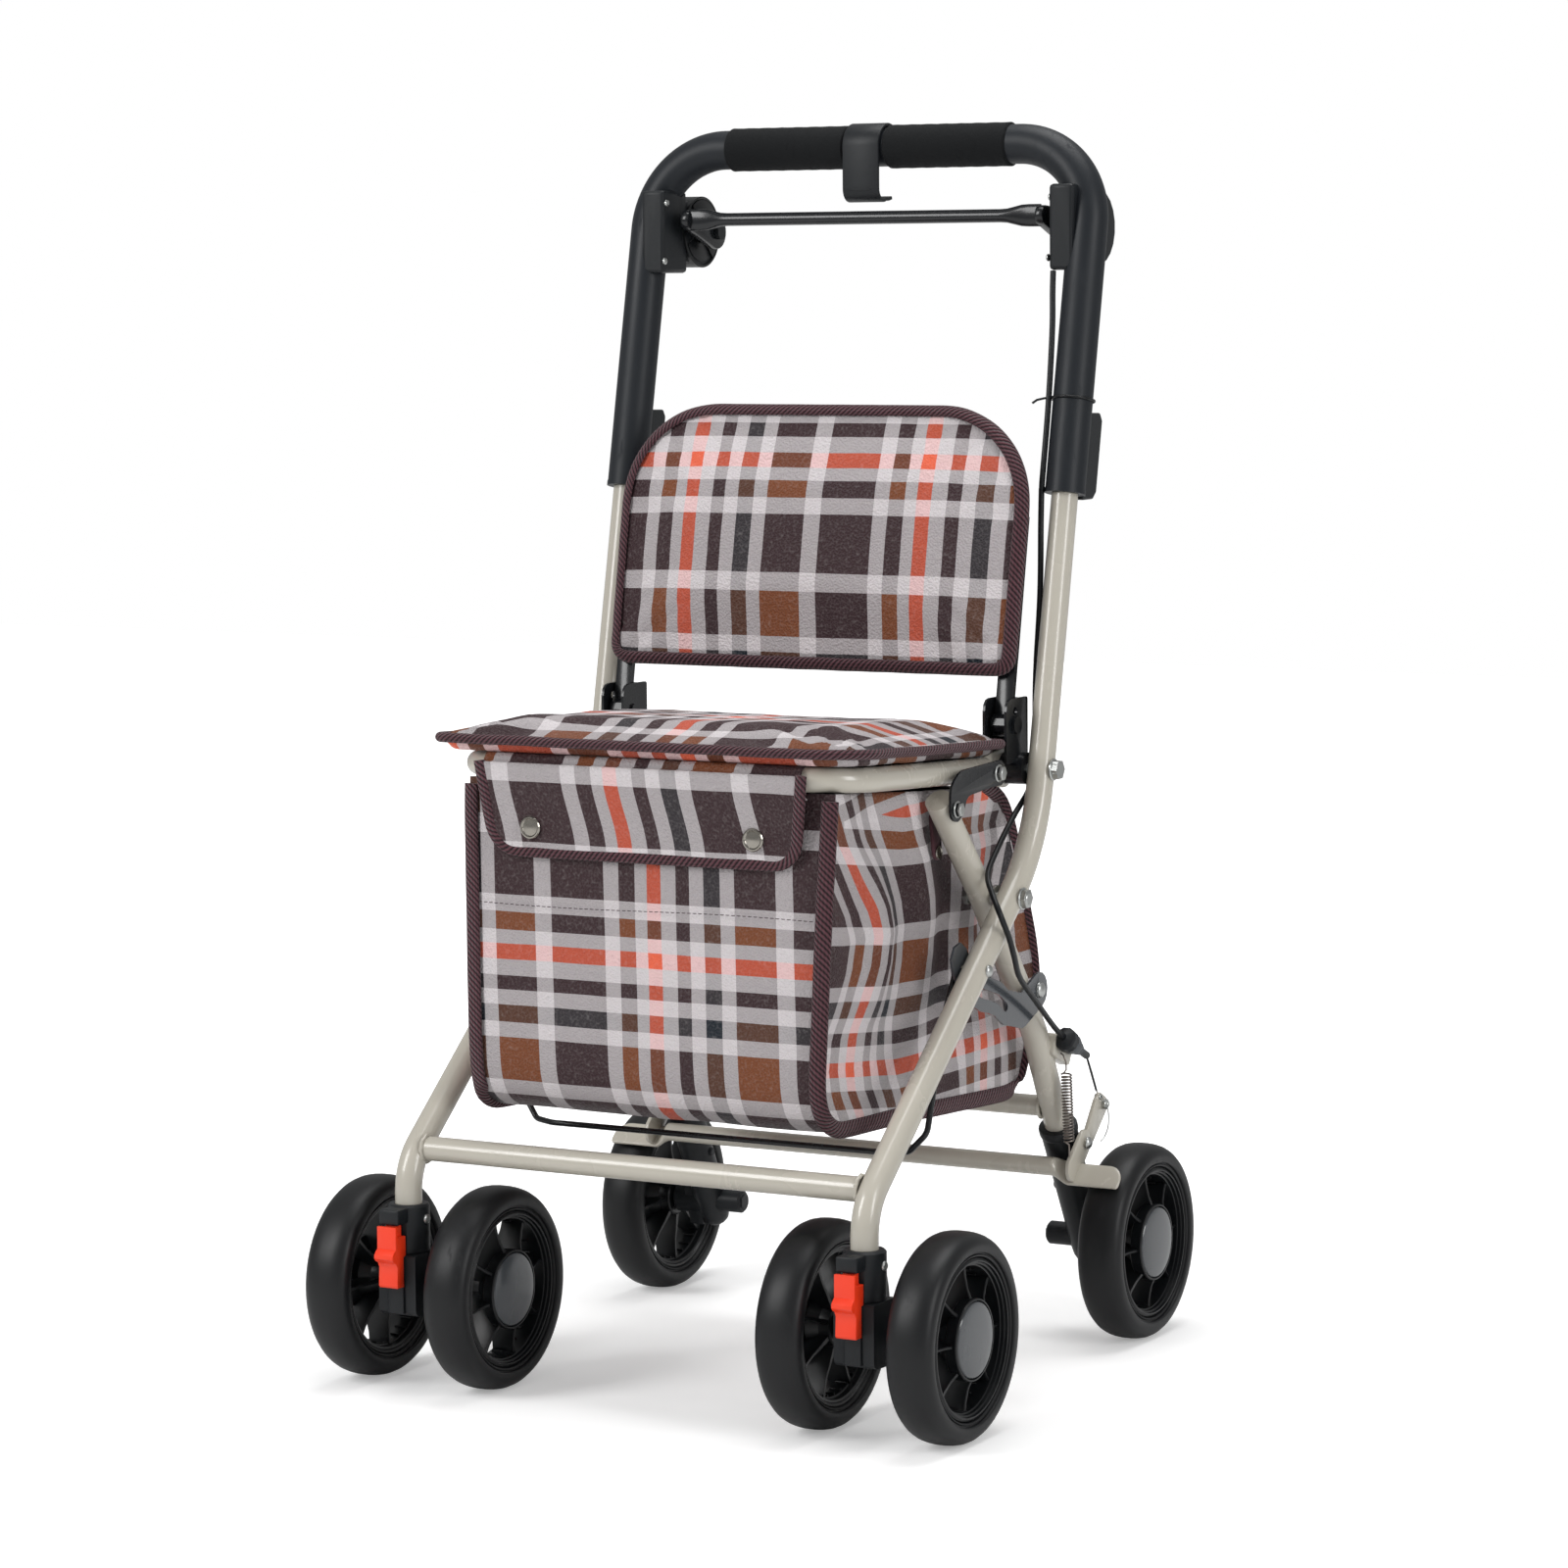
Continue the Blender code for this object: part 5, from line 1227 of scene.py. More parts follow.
frame_bolts = pair(199.6, SEAT_PIVOT, 0.3, 1.0) + pair(199.6, CROSS_PIVOT, 0.1, 1.0)
scatter("bolt_heads_frame", zinc_tree, HEX, frame_bolts, "frame")
link_bolts = pair(178.8, LINK_TOP, 0.0, 0.8) + pair(178.8, LINK_FOOT, 0.0, 0.75)
for i, (side, s) in enumerate(SIDES):
    scatter("bolt_heads_" + side + "_link", zinc_tree, HEX, link_bolts[i::2], side + "_link")
scatter("leg_rivets", zinc_tree, DOME, pair(199.4, (BODY_RIVET_Y, leg_z(BODY_RIVET_Y)), 0.0, 0.8), "frame")
socket_screws = [(s * FRAME_X + t * 15.3, STEM_Y, 128.8, euler_of((t, 0, 0), 0.7), 0.78)
                 for s in BOTH for t in BOTH]
scatter("socket_screws", zinc_tree, PAN, socket_screws, "frame")
scatter("plate_rivets", zinc_tree, DOME, pair(179.0, PLATE_RIVET, 0.0, 1.1), "rear_frame")
scatter("brake_rivets", zinc_tree, DOME, pair(188.6, BRAKE_PIVOT, 0.0, 0.85), "rear_brake")
print("fasteners done")

# %% [markdown]
# ## Padded seat and backrest
# A real cushion is pulled in along its seam and pushed out by the filling. Each cushion
# starts as a closed skin that follows the CAD solid, is cut into even small faces, and a
# short cloth simulation with a little inner pressure then rounds the crown and leaves
# soft folds beside the seam. The piping is added afterwards along the seam itself.

# %% Outlines of both cushions
SEAT_CENTRE = (0.0, -78.0)
SEAT_HALF = 173.0
SEAT_LIFT = 9.4
BACK_CENTRE = (0.0, 98.0)
BACK_HALF = 174.0
BACK_TALL = 201.0


def under(y):
    """Height of the seat cushion's underside."""
    return arm_z(y) + SEAT_LIFT


def seat_plan(inset):
    """Outline of the seat cushion, drawn in from its widest line."""
    w = SEAT_HALF - inset
    corners = [(-w, -202.0 + inset), (w, -202.0 + inset), (w - 1.5, 34.6 - 0.8 * inset),
               (152.6 - 0.8 * inset, 34.6 - 0.8 * inset), (152.6 - 0.8 * inset, 46.0 - inset),
               (-152.6 + 0.8 * inset, 46.0 - inset), (-152.6 + 0.8 * inset, 34.6 - 0.8 * inset),
               (-w + 1.5, 34.6 - 0.8 * inset)]
    return outline(corners, [17.0, 38.0, 7.0, 1.5, 5.0, 5.0, 1.5, 7.0], 9.0)


def back_plan(inset):
    """Outline of the backrest, in its own plane."""
    w = BACK_HALF - inset
    corners = [(-w + 1.0, inset), (w - 1.0, inset), (w, BACK_TALL - inset), (-w, BACK_TALL - inset)]
    top = 76.0 - 0.5 * inset
    return outline(corners, [14.0, 14.0, top, top], 6.0)


def even_line(points, spacing, calm=2):
    """Even points round a closed line, with its corners calmed."""
    pts = [Vector(p) for p in points]
    pts.append(pts[0])
    marks = run_marks(pts)
    count = round(marks[-1] / spacing)
    line = points_at(pts, marks, np.linspace(0.0, marks[-1], count + 1)[:-1])
    for _ in range(calm):
        line = (np.roll(line, 1, axis=0) + 2.0 * line + np.roll(line, -1, axis=0)) / 4.0
    return [Vector(p) for p in line]


def shrink(line, share, centre):
    """Pull an outline towards a centre by a share of its size."""
    return [(centre[0] + (x - centre[0]) * share, centre[1] + (y - centre[1]) * share) for x, y in line]


print("seat", 2 * SEAT_HALF, "mm wide, backrest", 2 * BACK_HALF, "mm wide and", BACK_TALL, "mm tall")

# %% Skins of even faces


def crown_skin(name, rings, top, bottom, face_size):
    """Closed skin of even faces through equal rings, with a middle point above and below."""
    bm = bmesh.new()
    rows = [[bm.verts.new(p) for p in ring] for ring in rings]
    skin(bm, rows, caps=False)
    n = len(rows[0])
    for row, tip in ((rows[0], bottom), (rows[-1], top)):
        middle = bm.verts.new(tip)
        for k in range(n):
            bm.faces.new((row[k], row[(k + 1) % n], middle))
    bmesh.ops.recalc_face_normals(bm, faces=bm.faces)
    piece = show(name, mesh_of(bm, name))
    grid = piece.modifiers.new("even faces", "REMESH")
    grid.mode = "VOXEL"
    grid.voxel_size = face_size
    grid.use_smooth_shade = True
    calm = piece.modifiers.new("calm", "SMOOTH")
    calm.factor = 0.6
    calm.iterations = 5
    bake(piece)
    return piece


def places(mesh):
    """The mesh's points as rows of x, y and z."""
    return np.array([tuple(v.co) for v in mesh.vertices])


def fill_up(piece, pressure, cap, held):
    """Blow the cushion up as cloth for 20 frames and keep at most cap metres of movement."""
    start = places(piece.data)
    pins = piece.vertex_groups.new(name="held")
    for i, share in enumerate(held(start)):
        if share > 0:
            pins.add([i], float(share), "REPLACE")
    cloth = piece.modifiers.new("filling", "CLOTH")
    for label, value in (("quality", 6), ("mass", 0.3), ("use_pressure", True),
                         ("uniform_pressure_force", pressure), ("tension_stiffness", 12.0),
                         ("compression_stiffness", 9.0), ("shear_stiffness", 4.0),
                         ("bending_stiffness", 0.6), ("vertex_group_mass", "held")):
        setattr(cloth.settings, label, value)
    cloth.settings.effector_weights.gravity = 0.0
    for shot in range(1, 21):
        bpy.context.scene.frame_set(shot)
    mesh = bake(piece)
    bpy.context.scene.frame_set(1)
    move = places(mesh) - start
    length = np.linalg.norm(move, axis=1)
    share = np.where(length > cap, cap / np.maximum(length, 1e-9), 1.0)
    mesh.vertices.foreach_set("co", (start + move * share[:, None]).ravel())
    mesh.update()
    print(piece.name, "moved at most", round(float(np.minimum(length, cap).max()) / MM, 1), "mm")


print("simulation ready, used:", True)

# %% Folds and cloth of a cushion


def fold_of(x, y, seed):
    """Height of small soft creases, in millimetres."""
    a = noise.noise(Vector((x * 0.012, y * 0.03, seed)))
    b = noise.noise(Vector((x * 0.05 + 7.0, y * 0.02, seed + 3.0)))
    return 1.6 * a + 0.8 * b


def upholster(piece, place, body, node):
    """Print the cloth on a cushion, in repeats, and let it ride on its body in place of its CAD node."""
    mesh = piece.data
    layer = mesh.uv_layers.new(name="cloth")
    normals = [tuple(v.normal) for v in mesh.vertices]
    for poly in mesh.polygons:
        for k in poly.loop_indices:
            i = mesh.loops[k].vertex_index
            layer.data[k].uv = place(mesh.vertices[i].co * 1000.0, normals[i])
    mesh.materials.append(PLAID)
    mesh.shade_smooth()
    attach(piece, body)
    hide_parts(node)
    print(piece.name, len(mesh.polygons), "faces")


print("upholstery ready")

# %% Seat cushion
SEAM = 9.6
CROWN = ((6.4, 0.4), (4.6, 1.0), (3.2, 3.4), (1.8, 6.2), (0.6, 8.4), (0.0, SEAM), (0.6, 10.6), (1.6, 12.5),
         (3.6, 14.6), (6.6, 16.4), (11.0, 17.9), (17.0, 18.9), (25.0, 19.6), (34.0, 20.1))


def on_seat(plan, rise):
    """Lay an outline on the seat at a height above the underside."""
    return [(x, y, under(y) + rise) for x, y in plan]


rings = [on_seat(shrink(seat_plan(7.0), share, SEAT_CENTRE), 0.4) for share in (0.3, 0.75)]
rings += [on_seat(seat_plan(inset), rise) for inset, rise in CROWN]
rings += [on_seat(shrink(seat_plan(34.0), share, SEAT_CENTRE), rise)
          for share, rise in ((0.8, 20.5), (0.55, 20.9), (0.25, 21.1))]
top, bottom = (on_seat([SEAT_CENTRE], rise)[0] for rise in (21.2, 0.4))
padded_seat = crown_skin("padded_seat", rings, top, bottom, 0.0045)


def seat_held(points):
    """The underside and the seam are held; the crown is free."""
    rise = points[:, 2] * 1000.0 - (SEAT_PIVOT[1] + 0.0524 * (SEAT_PIVOT[0] - points[:,
                                                                                     1] * 1000.0)) - SEAT_LIFT
    return np.clip((SEAM + 1.4 - rise) / 3.0, 0.0, 1.0)


fill_up(padded_seat, 4.0, 0.006, seat_held)


def seat_cloth(p, normal):
    """Cloth of the crown, and of the band under the seam."""
    rise = p.z - under(p.y)
    drop = max(0.0, 20.0 - rise)
    flat = Vector((normal[0], normal[1]))
    lean = flat.normalized() * drop if flat.length > 0.05 else Vector((0.0, 0.0))
    if rise < SEAM:
        return ((rise - 4.5 + max(0.0, p.y + 196.0)) / REPEAT, (38.6 - p.x) / REPEAT)
    return ((14.0 - p.x - lean.x) / REPEAT, (p.y + lean.y + 280.0) / REPEAT)


for v in padded_seat.data.vertices:
    p = v.co * 1000.0
    rise = p.z - under(p.y)
    if rise > 12.0:
        soft = min(1.0, (rise - 12.0) / 8.0)
        v.co.z += soft * MM * fold_of(p.x, p.y, 4.0) * 0.7
padded_seat.data.update()
upholster(padded_seat, seat_cloth, "seat", "seat_cushion")

# %% Piping round the seat
line = even_line(on_seat(seat_plan(-1.2), SEAM), 2.5)
line = [p + Vector((0, 0, 0.5 * noise.noise(p * 0.025))) for p in line]
bm = bmesh.new()
bar(bm, line, 3.7, 14, loop=True, cloth=True)
piping = finish(bm, "seat_piping", TAPE, "seat", crease=80.0)
print("seat piping", len(piping.data.polygons), "faces")

# %% Backrest
LEAN = math.atan2(0.19, 1.0)
PANEL_FOOT = (51.0, 518.0)


def on_panel(x, v, depth):
    """Point at height v on the leaning backrest, depth in front of its middle."""
    return (x, PANEL_FOOT[0] + v * math.sin(LEAN) - depth * math.cos(LEAN),
            PANEL_FOOT[1] + v * math.cos(LEAN) + depth * math.sin(LEAN))


def panel_place(p):
    """Height on the leaning panel and depth in front of it."""
    dy = p.y - PANEL_FOOT[0]
    dz = p.z - PANEL_FOOT[1]
    return (dz * math.cos(LEAN) + dy * math.sin(LEAN), -dy * math.cos(LEAN) + dz * math.sin(LEAN))


def back_ring(plan, depth, share=1.0):
    """Lay an outline on the panel at a depth, drawn together to a share of its size."""
    return [on_panel(x, v, depth) for x, v in (plan if share == 1.0 else shrink(plan, share, BACK_CENTRE))]


rings = [back_ring(back_plan(6.0), -4.0, share) for share in (0.3, 0.7, 0.9)]
rings += [back_ring(back_plan(inset), depth) for inset, depth in ((5.0, -4.0), (2.0, -3.6), (0.6, -1.8),
                                                                  (0.8, 0.6), (2.4, 2.6), (6.0, 4.6),
                                                                  (11.0, 6.2), (18.0, 7.8), (28.0, 9.0),
                                                                  (42.0, 9.8))]
rings += [back_ring(back_plan(42.0), depth, share) for share,
          depth in ((0.75, 10.2), (0.45, 10.5), (0.2, 10.6))]
front, rear = (on_panel(*BACK_CENTRE, depth) for depth in (10.6, -4.0))
padded_back = crown_skin("padded_back", rings, front, rear, 0.004)


def back_held(points):
    """The rear face and the bound edge are held; the front is free."""
    behind = points[:, 1] * 1000.0 - PANEL_FOOT[0]
    depth = -behind * math.cos(LEAN) + (points[:, 2] * 1000.0 - PANEL_FOOT[1]) * math.sin(LEAN)
    return np.clip((3.0 - depth) / 3.0, 0.0, 1.0)


fill_up(padded_back, 3.0, 0.005, back_held)


def back_cloth(p, normal):
    """Cloth of the front, and of the rear with its pattern set off."""
    high, depth = panel_place(p)
    back = 0.0 if depth > 0 else 60.0
    return ((high - 157.7) / REPEAT, (p.x + 105.4 + back) / REPEAT)


for v in padded_back.data.vertices:
    high, depth = panel_place(v.co * 1000.0)
    if depth > 3.0:
        soft = min(1.0, (depth - 3.0) / 5.0)
        v.co.y -= soft * MM * (0.5 * fold_of(v.co.x * 1000.0 * 1.3, high * 0.8, 9.0))
padded_back.data.update()
upholster(padded_back, back_cloth, "backrest", "backrest_cushion")

# %% Binding tape round the backrest
TAPE_LINE = ((8.6, 5.7), (7.4, 6.9), (5.0, 6.9), (2.4, 5.9), (0.4, 3.8), (-0.6, 0.6), (-0.3, -2.2),
             (1.4, -4.5), (4.0, -5.4), (7.4, -5.3), (7.2, -4.5), (3.0, -4.2), (2.2, 0.4), (4.6, 3.6))
even = even_line([(x, v, 0.0) for x, v in back_plan(0.0)], 2.5, 6)
bm = bmesh.new()
rings = []
marks = [0.0]
for i, p in enumerate(even):
    after = even[(i + 1) % len(even)]
    t = (after - even[i - 1]).normalized()
    outward = Vector((t.y, -t.x, 0))
    wave = 0.25 * noise.noise(p * 0.05)
    line = [(p - outward * (inward + wave), depth) for inward, depth in TAPE_LINE]
    rings.append([bm.verts.new(on_panel(q.x, q.y, depth)) for q, depth in line])
    marks.append(marks[-1] + (after - p).length)
skin(bm, rings, loop=True, uv=lambda row, col: (marks[row] / REPEAT, col * 2.2 / REPEAT))
binding = finish(bm, "back_binding", TAPE, "backrest", crease=80.0)
print("binding", len(binding.data.polygons), "faces")

# %% [markdown]
# ## Plaid bag
# The bag is one shell of printed cloth that hangs from the front rail. Its front,
# bottom and back are one band, and a gusset closes each side. The cloth is slack: the
# front sags between the snaps, the bottom edge waves, and each gusset has long soft
# creases. A darker lining and an inner skin give the cloth its thickness.

# %% Band of the bag
BAG_LOW = 214.0
COLUMNS = 64
BAND_LINE = ((-189.6, 452.8), (-191.4, 380.0), (-192.6, 300.0), (-192.6, 252.0), (-190.4, 234.0),
             (-184.0, 220.6), (-172.6, 211.8), (-156.0, 207.8), (-60.0, 204.6), (60.0, 197.8),
             (98.0, 196.4), (110.0, 199.6), (117.0, 208.0), (126.0, 232.0), (134.0, 258.0), (137.6, 276.0),
             (136.0, 292.0), (118.0, 338.0), (95.0, 390.0), (76.0, 419.0), (58.0, 430.0), (44.5, 435.6))
band = smooth_path([(0.0, y, z) for y, z in BAND_LINE], 5.0)
band_run = run_marks(band)


def clamped(t):
    """A share between 0 and 1."""
    return min(1.0, max(0.0, t))


def bag_half(z):
    """Half the bag's width at height z."""
    return 143.8 + (z - BAG_LOW) * 0.0322


def askew(y, z):
    """Sideways shift of the bag's lower front edge, because the full bag hangs a little askew."""
    return (1.1 - 4.5 * (448.0 - z) / 236.0) * clamped((-y - 20.0) / 150.0)


def sag(x, y, z):
    """Slackness of the cloth at a point, in millimetres outwards."""
    a = noise.noise(Vector((x * 0.008, y * 0.008, z * 0.006)))
    b = noise.noise(Vector((x * 0.022, y * 0.022 + 5.0, z * 0.012)))
    return 1.6 * a + 0.7 * b


def outwards(i):
    """Direction out of the band at one of its points."""
    t = heading(band, i)
    return Vector((0.0, t.z, -t.y))


def band_uv(row, col, point):
    """Cloth place on the band, with its stripes upright on the front."""
    p = band[row]
    x = bag_half(p.z) * (-1.0 + 2.0 * col / COLUMNS)
    down = band_run[row] - 126.6
    if down > 0:
        down = down * 1.045
    return ((x + askew(p.y, p.z) - 5.0 - 0.02 * band_run[row]) / REPEAT, down / REPEAT)


bm = bmesh.new()
rows = []
for i, p in enumerate(band):
    row = []
    for k in range(COLUMNS + 1):
        side = -1.0 + 2.0 * k / COLUMNS
        x = bag_half(p.z) * side
        calm = 1.0 - abs(side) ** 6
        soft = sag(x, p.y, p.z) * calm
        if p.y > -150 and p.z < 220:
            soft += 2.0 * calm * (1.0 - 0.5 * abs(side))
        corner = 1.2 * max(0.0, abs(side) - 0.93) / 0.07
        row.append(bm.verts.new(Vector((x + askew(p.y, p.z), p.y, p.z)) + outwards(i) * (soft - corner)))
    rows.append(row)
cloth_grid(bm, rows, band_uv)
print("band of", len(rows), "rows,", round(band_run[-1]), "mm long")

# %% Gussets
CREASE_Z = (196, 217, 235, 255, 278, 296, 322, 344, 363, 389, 415, 452)
CREASE_Y = (-124, -134, -147, -152, -148, -133, -115, -108, -120, -147, -173, -196)
REAR_Z = (196, 243, 333, 391, 407, 430, 452)
REAR_Y = (-142, -143, -165, -152, -158, -151, -150)


def drift(y, z):
    """Where the slack gusset cloth carries the middle of its orange stripe, as a depth."""
    front = float(np.interp(z, CREASE_Z, CREASE_Y))
    rear = float(np.interp(z, REAR_Z, REAR_Y))
    return front + (rear - front) * clamped((y + 120.0) / 170.0)


def drop(y, z):
    """Height of the middle of the gusset's orange row."""
    back = clamped((y + 190.0) / 110.0)
    low = clamped((350.0 - z) / 100.0)
    return 246.0 - 14.0 * back + 12.0 * low + 2.0 * max(0.0, z - 430.0)


def gusset_uv(row, col, p):
    """Cloth place on a gusset, dragged along by its creases."""
    return ((p.y - drift(p.y, p.z)) / REPEAT, (p.z - drop(p.y, p.z)) / REPEAT)


def nearest(line, y, z):
    """Number of the point of a line that is nearest to a side view point."""
    return min(range(len(line)), key=lambda i: abs(line[i].y - y) + abs(line[i].z - z))


def gusset(s):
    """Rows of points over one side of the bag, from its front seam to its rear seam."""
    line = [(row[0] if s < 0 else row[-1]).co.copy() for row in rows]
    low_front = nearest(line, -184.0, 220.6)
    low_back = nearest(line, 117.0, 208.0)
    fronts = line[:low_front + 1]
    rears = list(reversed(line[low_back:]))
    wide = low_back - low_front
    last = len(fronts) - 1
    grid = []
    for i, near in enumerate(fronts):
        mark = (len(rears) - 1) * i / last
        k = min(int(mark), len(rears) - 2)
        far = rears[k].lerp(rears[k + 1], mark - k)
        share = i / last
        row = []
        for k in range(wide + 1):
            t = k / wide
            p = near.lerp(far, t)
            if share > 0.5:
                straight = fronts[-1].lerp(rears[-1], t)
                p += (line[low_front + k] - straight) * ((share - 0.5) / 0.5) ** 2
            calm = math.sin(math.pi * t) ** 0.6 * math.sin(math.pi * min(1.0, 0.12 + share * 0.98)) ** 0.8
            wave = math.sin((p.y - drift(p.y, p.z)) * 0.072 + 0.5)
            crease = 4.8 * wave + 2.2 * noise.noise(Vector((p.y * 0.025, p.z * 0.012, 2.0 + s)))
            p.x += s * calm * (crease - 4.2)
            row.append(p)
        grid.append(row)
    return grid


for s in BOTH:
    cloth_grid(bm, [[bm.verts.new(p) for p in row] for row in gusset(s)], gusset_uv, flip=s < 0)
print("gussets done")

# %% Thickness of the cloth


def thicken(piece, thick, offset, lined=0):
    """Give a sheet of cloth its thickness in millimetres, with its next material inside where it is lined."""
    cloth = piece.modifiers.new("cloth thickness", "SOLIDIFY")
    cloth.thickness = thick * MM
    cloth.offset = offset
    cloth.material_offset = lined
    bake(piece)


def sewn(bm, name, thick, offset, body, node):
    """Turn a drawing of sheets into a lined piece that stands for a CAD node."""
    bmesh.ops.recalc_face_normals(bm, faces=bm.faces)
    piece = show(name, mesh_of(bm, name), PLAID, LINING)
    thicken(piece, thick, offset, 1)
    piece.data.shade_smooth()
    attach(piece, body)
    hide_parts(node)
    print(name, len(piece.data.polygons), "faces")
    return piece


bmesh.ops.remove_doubles(bm, verts=bm.verts, dist=0.4)
bag = sewn(bm, "sagging_bag", 1.6, -1.0, "frame", "bag")

# %% [markdown]
# The flap folds down over the front from a hinge on the front rail, and two snaps hold
# it. A sleeve of the same cloth wraps the rail, and a lip joins the flap to the bag. Woven
# tape binds the flap's edges, the front's upright seams and the gussets' rims.

# %% Flap
FLAP_FOOT = 398.0
FLAP_TALL = 68.0
FLAP_CORNER = 21.0
ACROSS = 60
DOWN = 18


def flap_depth(x, v):
    """How far the flap stands in front of its plane: slack between the snaps, pulled in at them."""
    wave = 1.1 * noise.noise(Vector((x * 0.014, v * 0.02, 6.0)))
    pull = 0.8 * math.exp(-((abs(x) - 92.0) / 16.0) ** 2 - ((v - 21.0) / 14.0) ** 2)
    return wave - pull


def flap_point(side, v):
    """Point on the flap's middle surface; side runs from -1 to 1, v is the height above the lower edge."""
    half = 127.5 + 9.0 * v / FLAP_TALL
    if v < FLAP_CORNER:
        half -= FLAP_CORNER - math.sqrt(max(0.0, FLAP_CORNER ** 2 - (FLAP_CORNER - v) ** 2))
    x = half * side
    return Vector((x, -195.3 - 8.1 * v / FLAP_TALL - flap_depth(x, v), FLAP_FOOT + v))


def flap_uv(row, col, p):
    """Cloth place on the flap, whose stripes slide sideways towards the rail."""
    t = clamped((p.z - 404.0) / 56.0)
    slide = -13.6 - 8.6 * (t * t * (3.0 - 2.0 * t))
    return ((p.x - slide) / REPEAT, (566.0 - p.z) / REPEAT)


bm = bmesh.new()
rows = []
for i in range(DOWN + 1):
    v = FLAP_TALL * (1.0 - math.cos(math.pi * i / DOWN * 0.5))
    rows.append([bm.verts.new(flap_point(-1.0 + 2.0 * k / ACROSS, v)) for k in range(ACROSS + 1)])
cloth_grid(bm, rows, flap_uv)
flap = sewn(bm, "folded_flap", 1.8, 0.0, "flap", "bag_flap")

# %% Cloth sleeve of the flap round the front rail
RAIL_HALF = 131.0
RAIL = (HOOP_FRONT, arm_z(HOOP_FRONT))


def rail_x(col):
    """Place along the rail of one of 61 columns."""
    return -RAIL_HALF + 2 * RAIL_HALF * col / ACROSS


bm = bmesh.new()
rows = []
for k in range(13):
    a = math.radians(112.0 + 100.0 * k / 12)
    row = []
    for i in range(ACROSS + 1):
        r = 10.9 + 0.25 * noise.noise(Vector((rail_x(i) * 0.05, k * 0.3, 1.0)))
        row.append(bm.verts.new((rail_x(i), RAIL[0] + r * math.cos(a), RAIL[1] + r * math.sin(a))))
    rows.append(row)
cloth_grid(bm, rows, lambda row, col, p: ((rail_x(col) + 22.0) / REPEAT, (88.0 + row * 1.6) / REPEAT))
sleeve = finish(bm, "rail_sleeve", PLAID, "seat", crease=80.0)
thicken(sleeve, 0.9, -1.0)
print("sleeve done")

# %% Lip of the bag, which carries the flap in front of the rail
lip_line = [(-187.6, 447.0), (-192.0, 449.0), (-196.6, 451.8), (-199.6, 455.4), (-201.2, 459.5),
            (-201.9, 463.5), (-201.7, 466.6)]
bm = bmesh.new()
rows = [[bm.verts.new((rail_x(i), y, z)) for i in range(ACROSS + 1)] for y, z in lip_line]
cloth_grid(bm, rows, lambda row, col, p: ((p.x + 22.0) / REPEAT, (560.0 - p.z) / REPEAT))
lip = finish(bm, "bag_lip", PLAID, "frame", crease=80.0)
thicken(lip, 0.9, 0.0)
print("lip done")

# %% Woven tape round the flap


def laid_tape(bm, line, across, width, thick):
    """Lay an oval tape along a line; across gives the direction of its width at each point."""
    section = ring_section(width / 2, 14, thick / 2)
    run = run_marks(line)
    rings = []
    for i, p in enumerate(line):
        t = heading(line, i)
        w = (across[i] - t * across[i].dot(t)).normalized()
        n = t.cross(w)
        rings.append([bm.verts.new(p + w * a + n * b) for a, b in section])
    skin(bm, rings, uv=lambda row, col: (run[row] / REPEAT, col / 14.0 * 2.2 * width / REPEAT))


edge = [flap_point(-1.0, FLAP_TALL - 2.5 * k) for k in range(28)]
edge += [flap_point(-1.0 + 2.0 * k / 60, 0.0) for k in range(1, 60)]
edge += [flap_point(1.0, 0.5 + 2.5 * k) for k in range(28)]
line = calmed(smooth_path(edge, 2.5))
inward = [Vector((0, -1, 0)).cross(heading(line, i)).normalized() for i in range(len(line))]
bm = bmesh.new()
laid_tape(bm, [p + w * 3.6 for p, w in zip(line, inward)], inward, 9.6, 3.8)
flap_tape = finish(bm, "flap_tape", TAPE, "flap", crease=80.0)
print("flap tape", round(run_marks(line)[-1]), "mm long")

# %% Woven tape along the bag's seams
SEAM_SIDE = {-1.0: Vector((1.0, -0.12, 0.0)), 1.0: Vector((0.94, 0.34, 0.0))}
SEAM_SHIFT = {-1.0: Vector((0.6, 0.0, 0.0)), 1.0: Vector((-1.4, 0.6, 0.0))}
bm = bmesh.new()
for s in BOTH:
    line = []
    across = []
    for i, p in list(enumerate(band))[1:]:
        out = outwards(i)
        face_on = abs(out.y) ** 2
        across.append((SEAM_SIDE[s] * face_on + Vector((0.0, 0.0, 1.0)) * (1.0 - face_on)).normalized())
        wave = 0.6 * noise.noise(Vector((p.y * 0.03, p.z * 0.03, s)))
        shift = Vector((-s * 2.4 * face_on, 0.0, 2.0 * (1.0 - face_on)))
        if out.y < 0:
            shift += SEAM_SHIFT[s] * face_on
        seam = Vector((s * (bag_half(p.z) + 0.4 + wave) + askew(p.y, p.z), p.y, p.z))
        line.append(seam + out * (1.2 * face_on) + shift)
    laid_tape(bm, calmed(line), across, 12.4, 4.2)
bag_tape = finish(bm, "bag_tape", TAPE, "frame", crease=80.0)
print("bag tape", len(bag_tape.data.polygons), "faces")

# %% Snaps and stitching
studs = [(x, flap_point(x / 131.0, 21.0).y - 1.0, 419.0, euler_of((0, -1, 0)), 1.22) for x in (-92.5, 91.5)]
press_studs = scatter("press_studs", chrome_tree, SNAP, studs, "flap")
spots = []
for k in range(62):
    x = -139.0 + 4.5 * k
    spots.append((x, -194.4, 362.6 + 1.2 * math.sin(x * 0.02), euler_of((1, 0, 0), math.pi / 2), 1.0))
pocket_stitches = scatter("pocket_stitches", thread_tree, STITCH, spots, "frame")
print("snaps and stitches done")

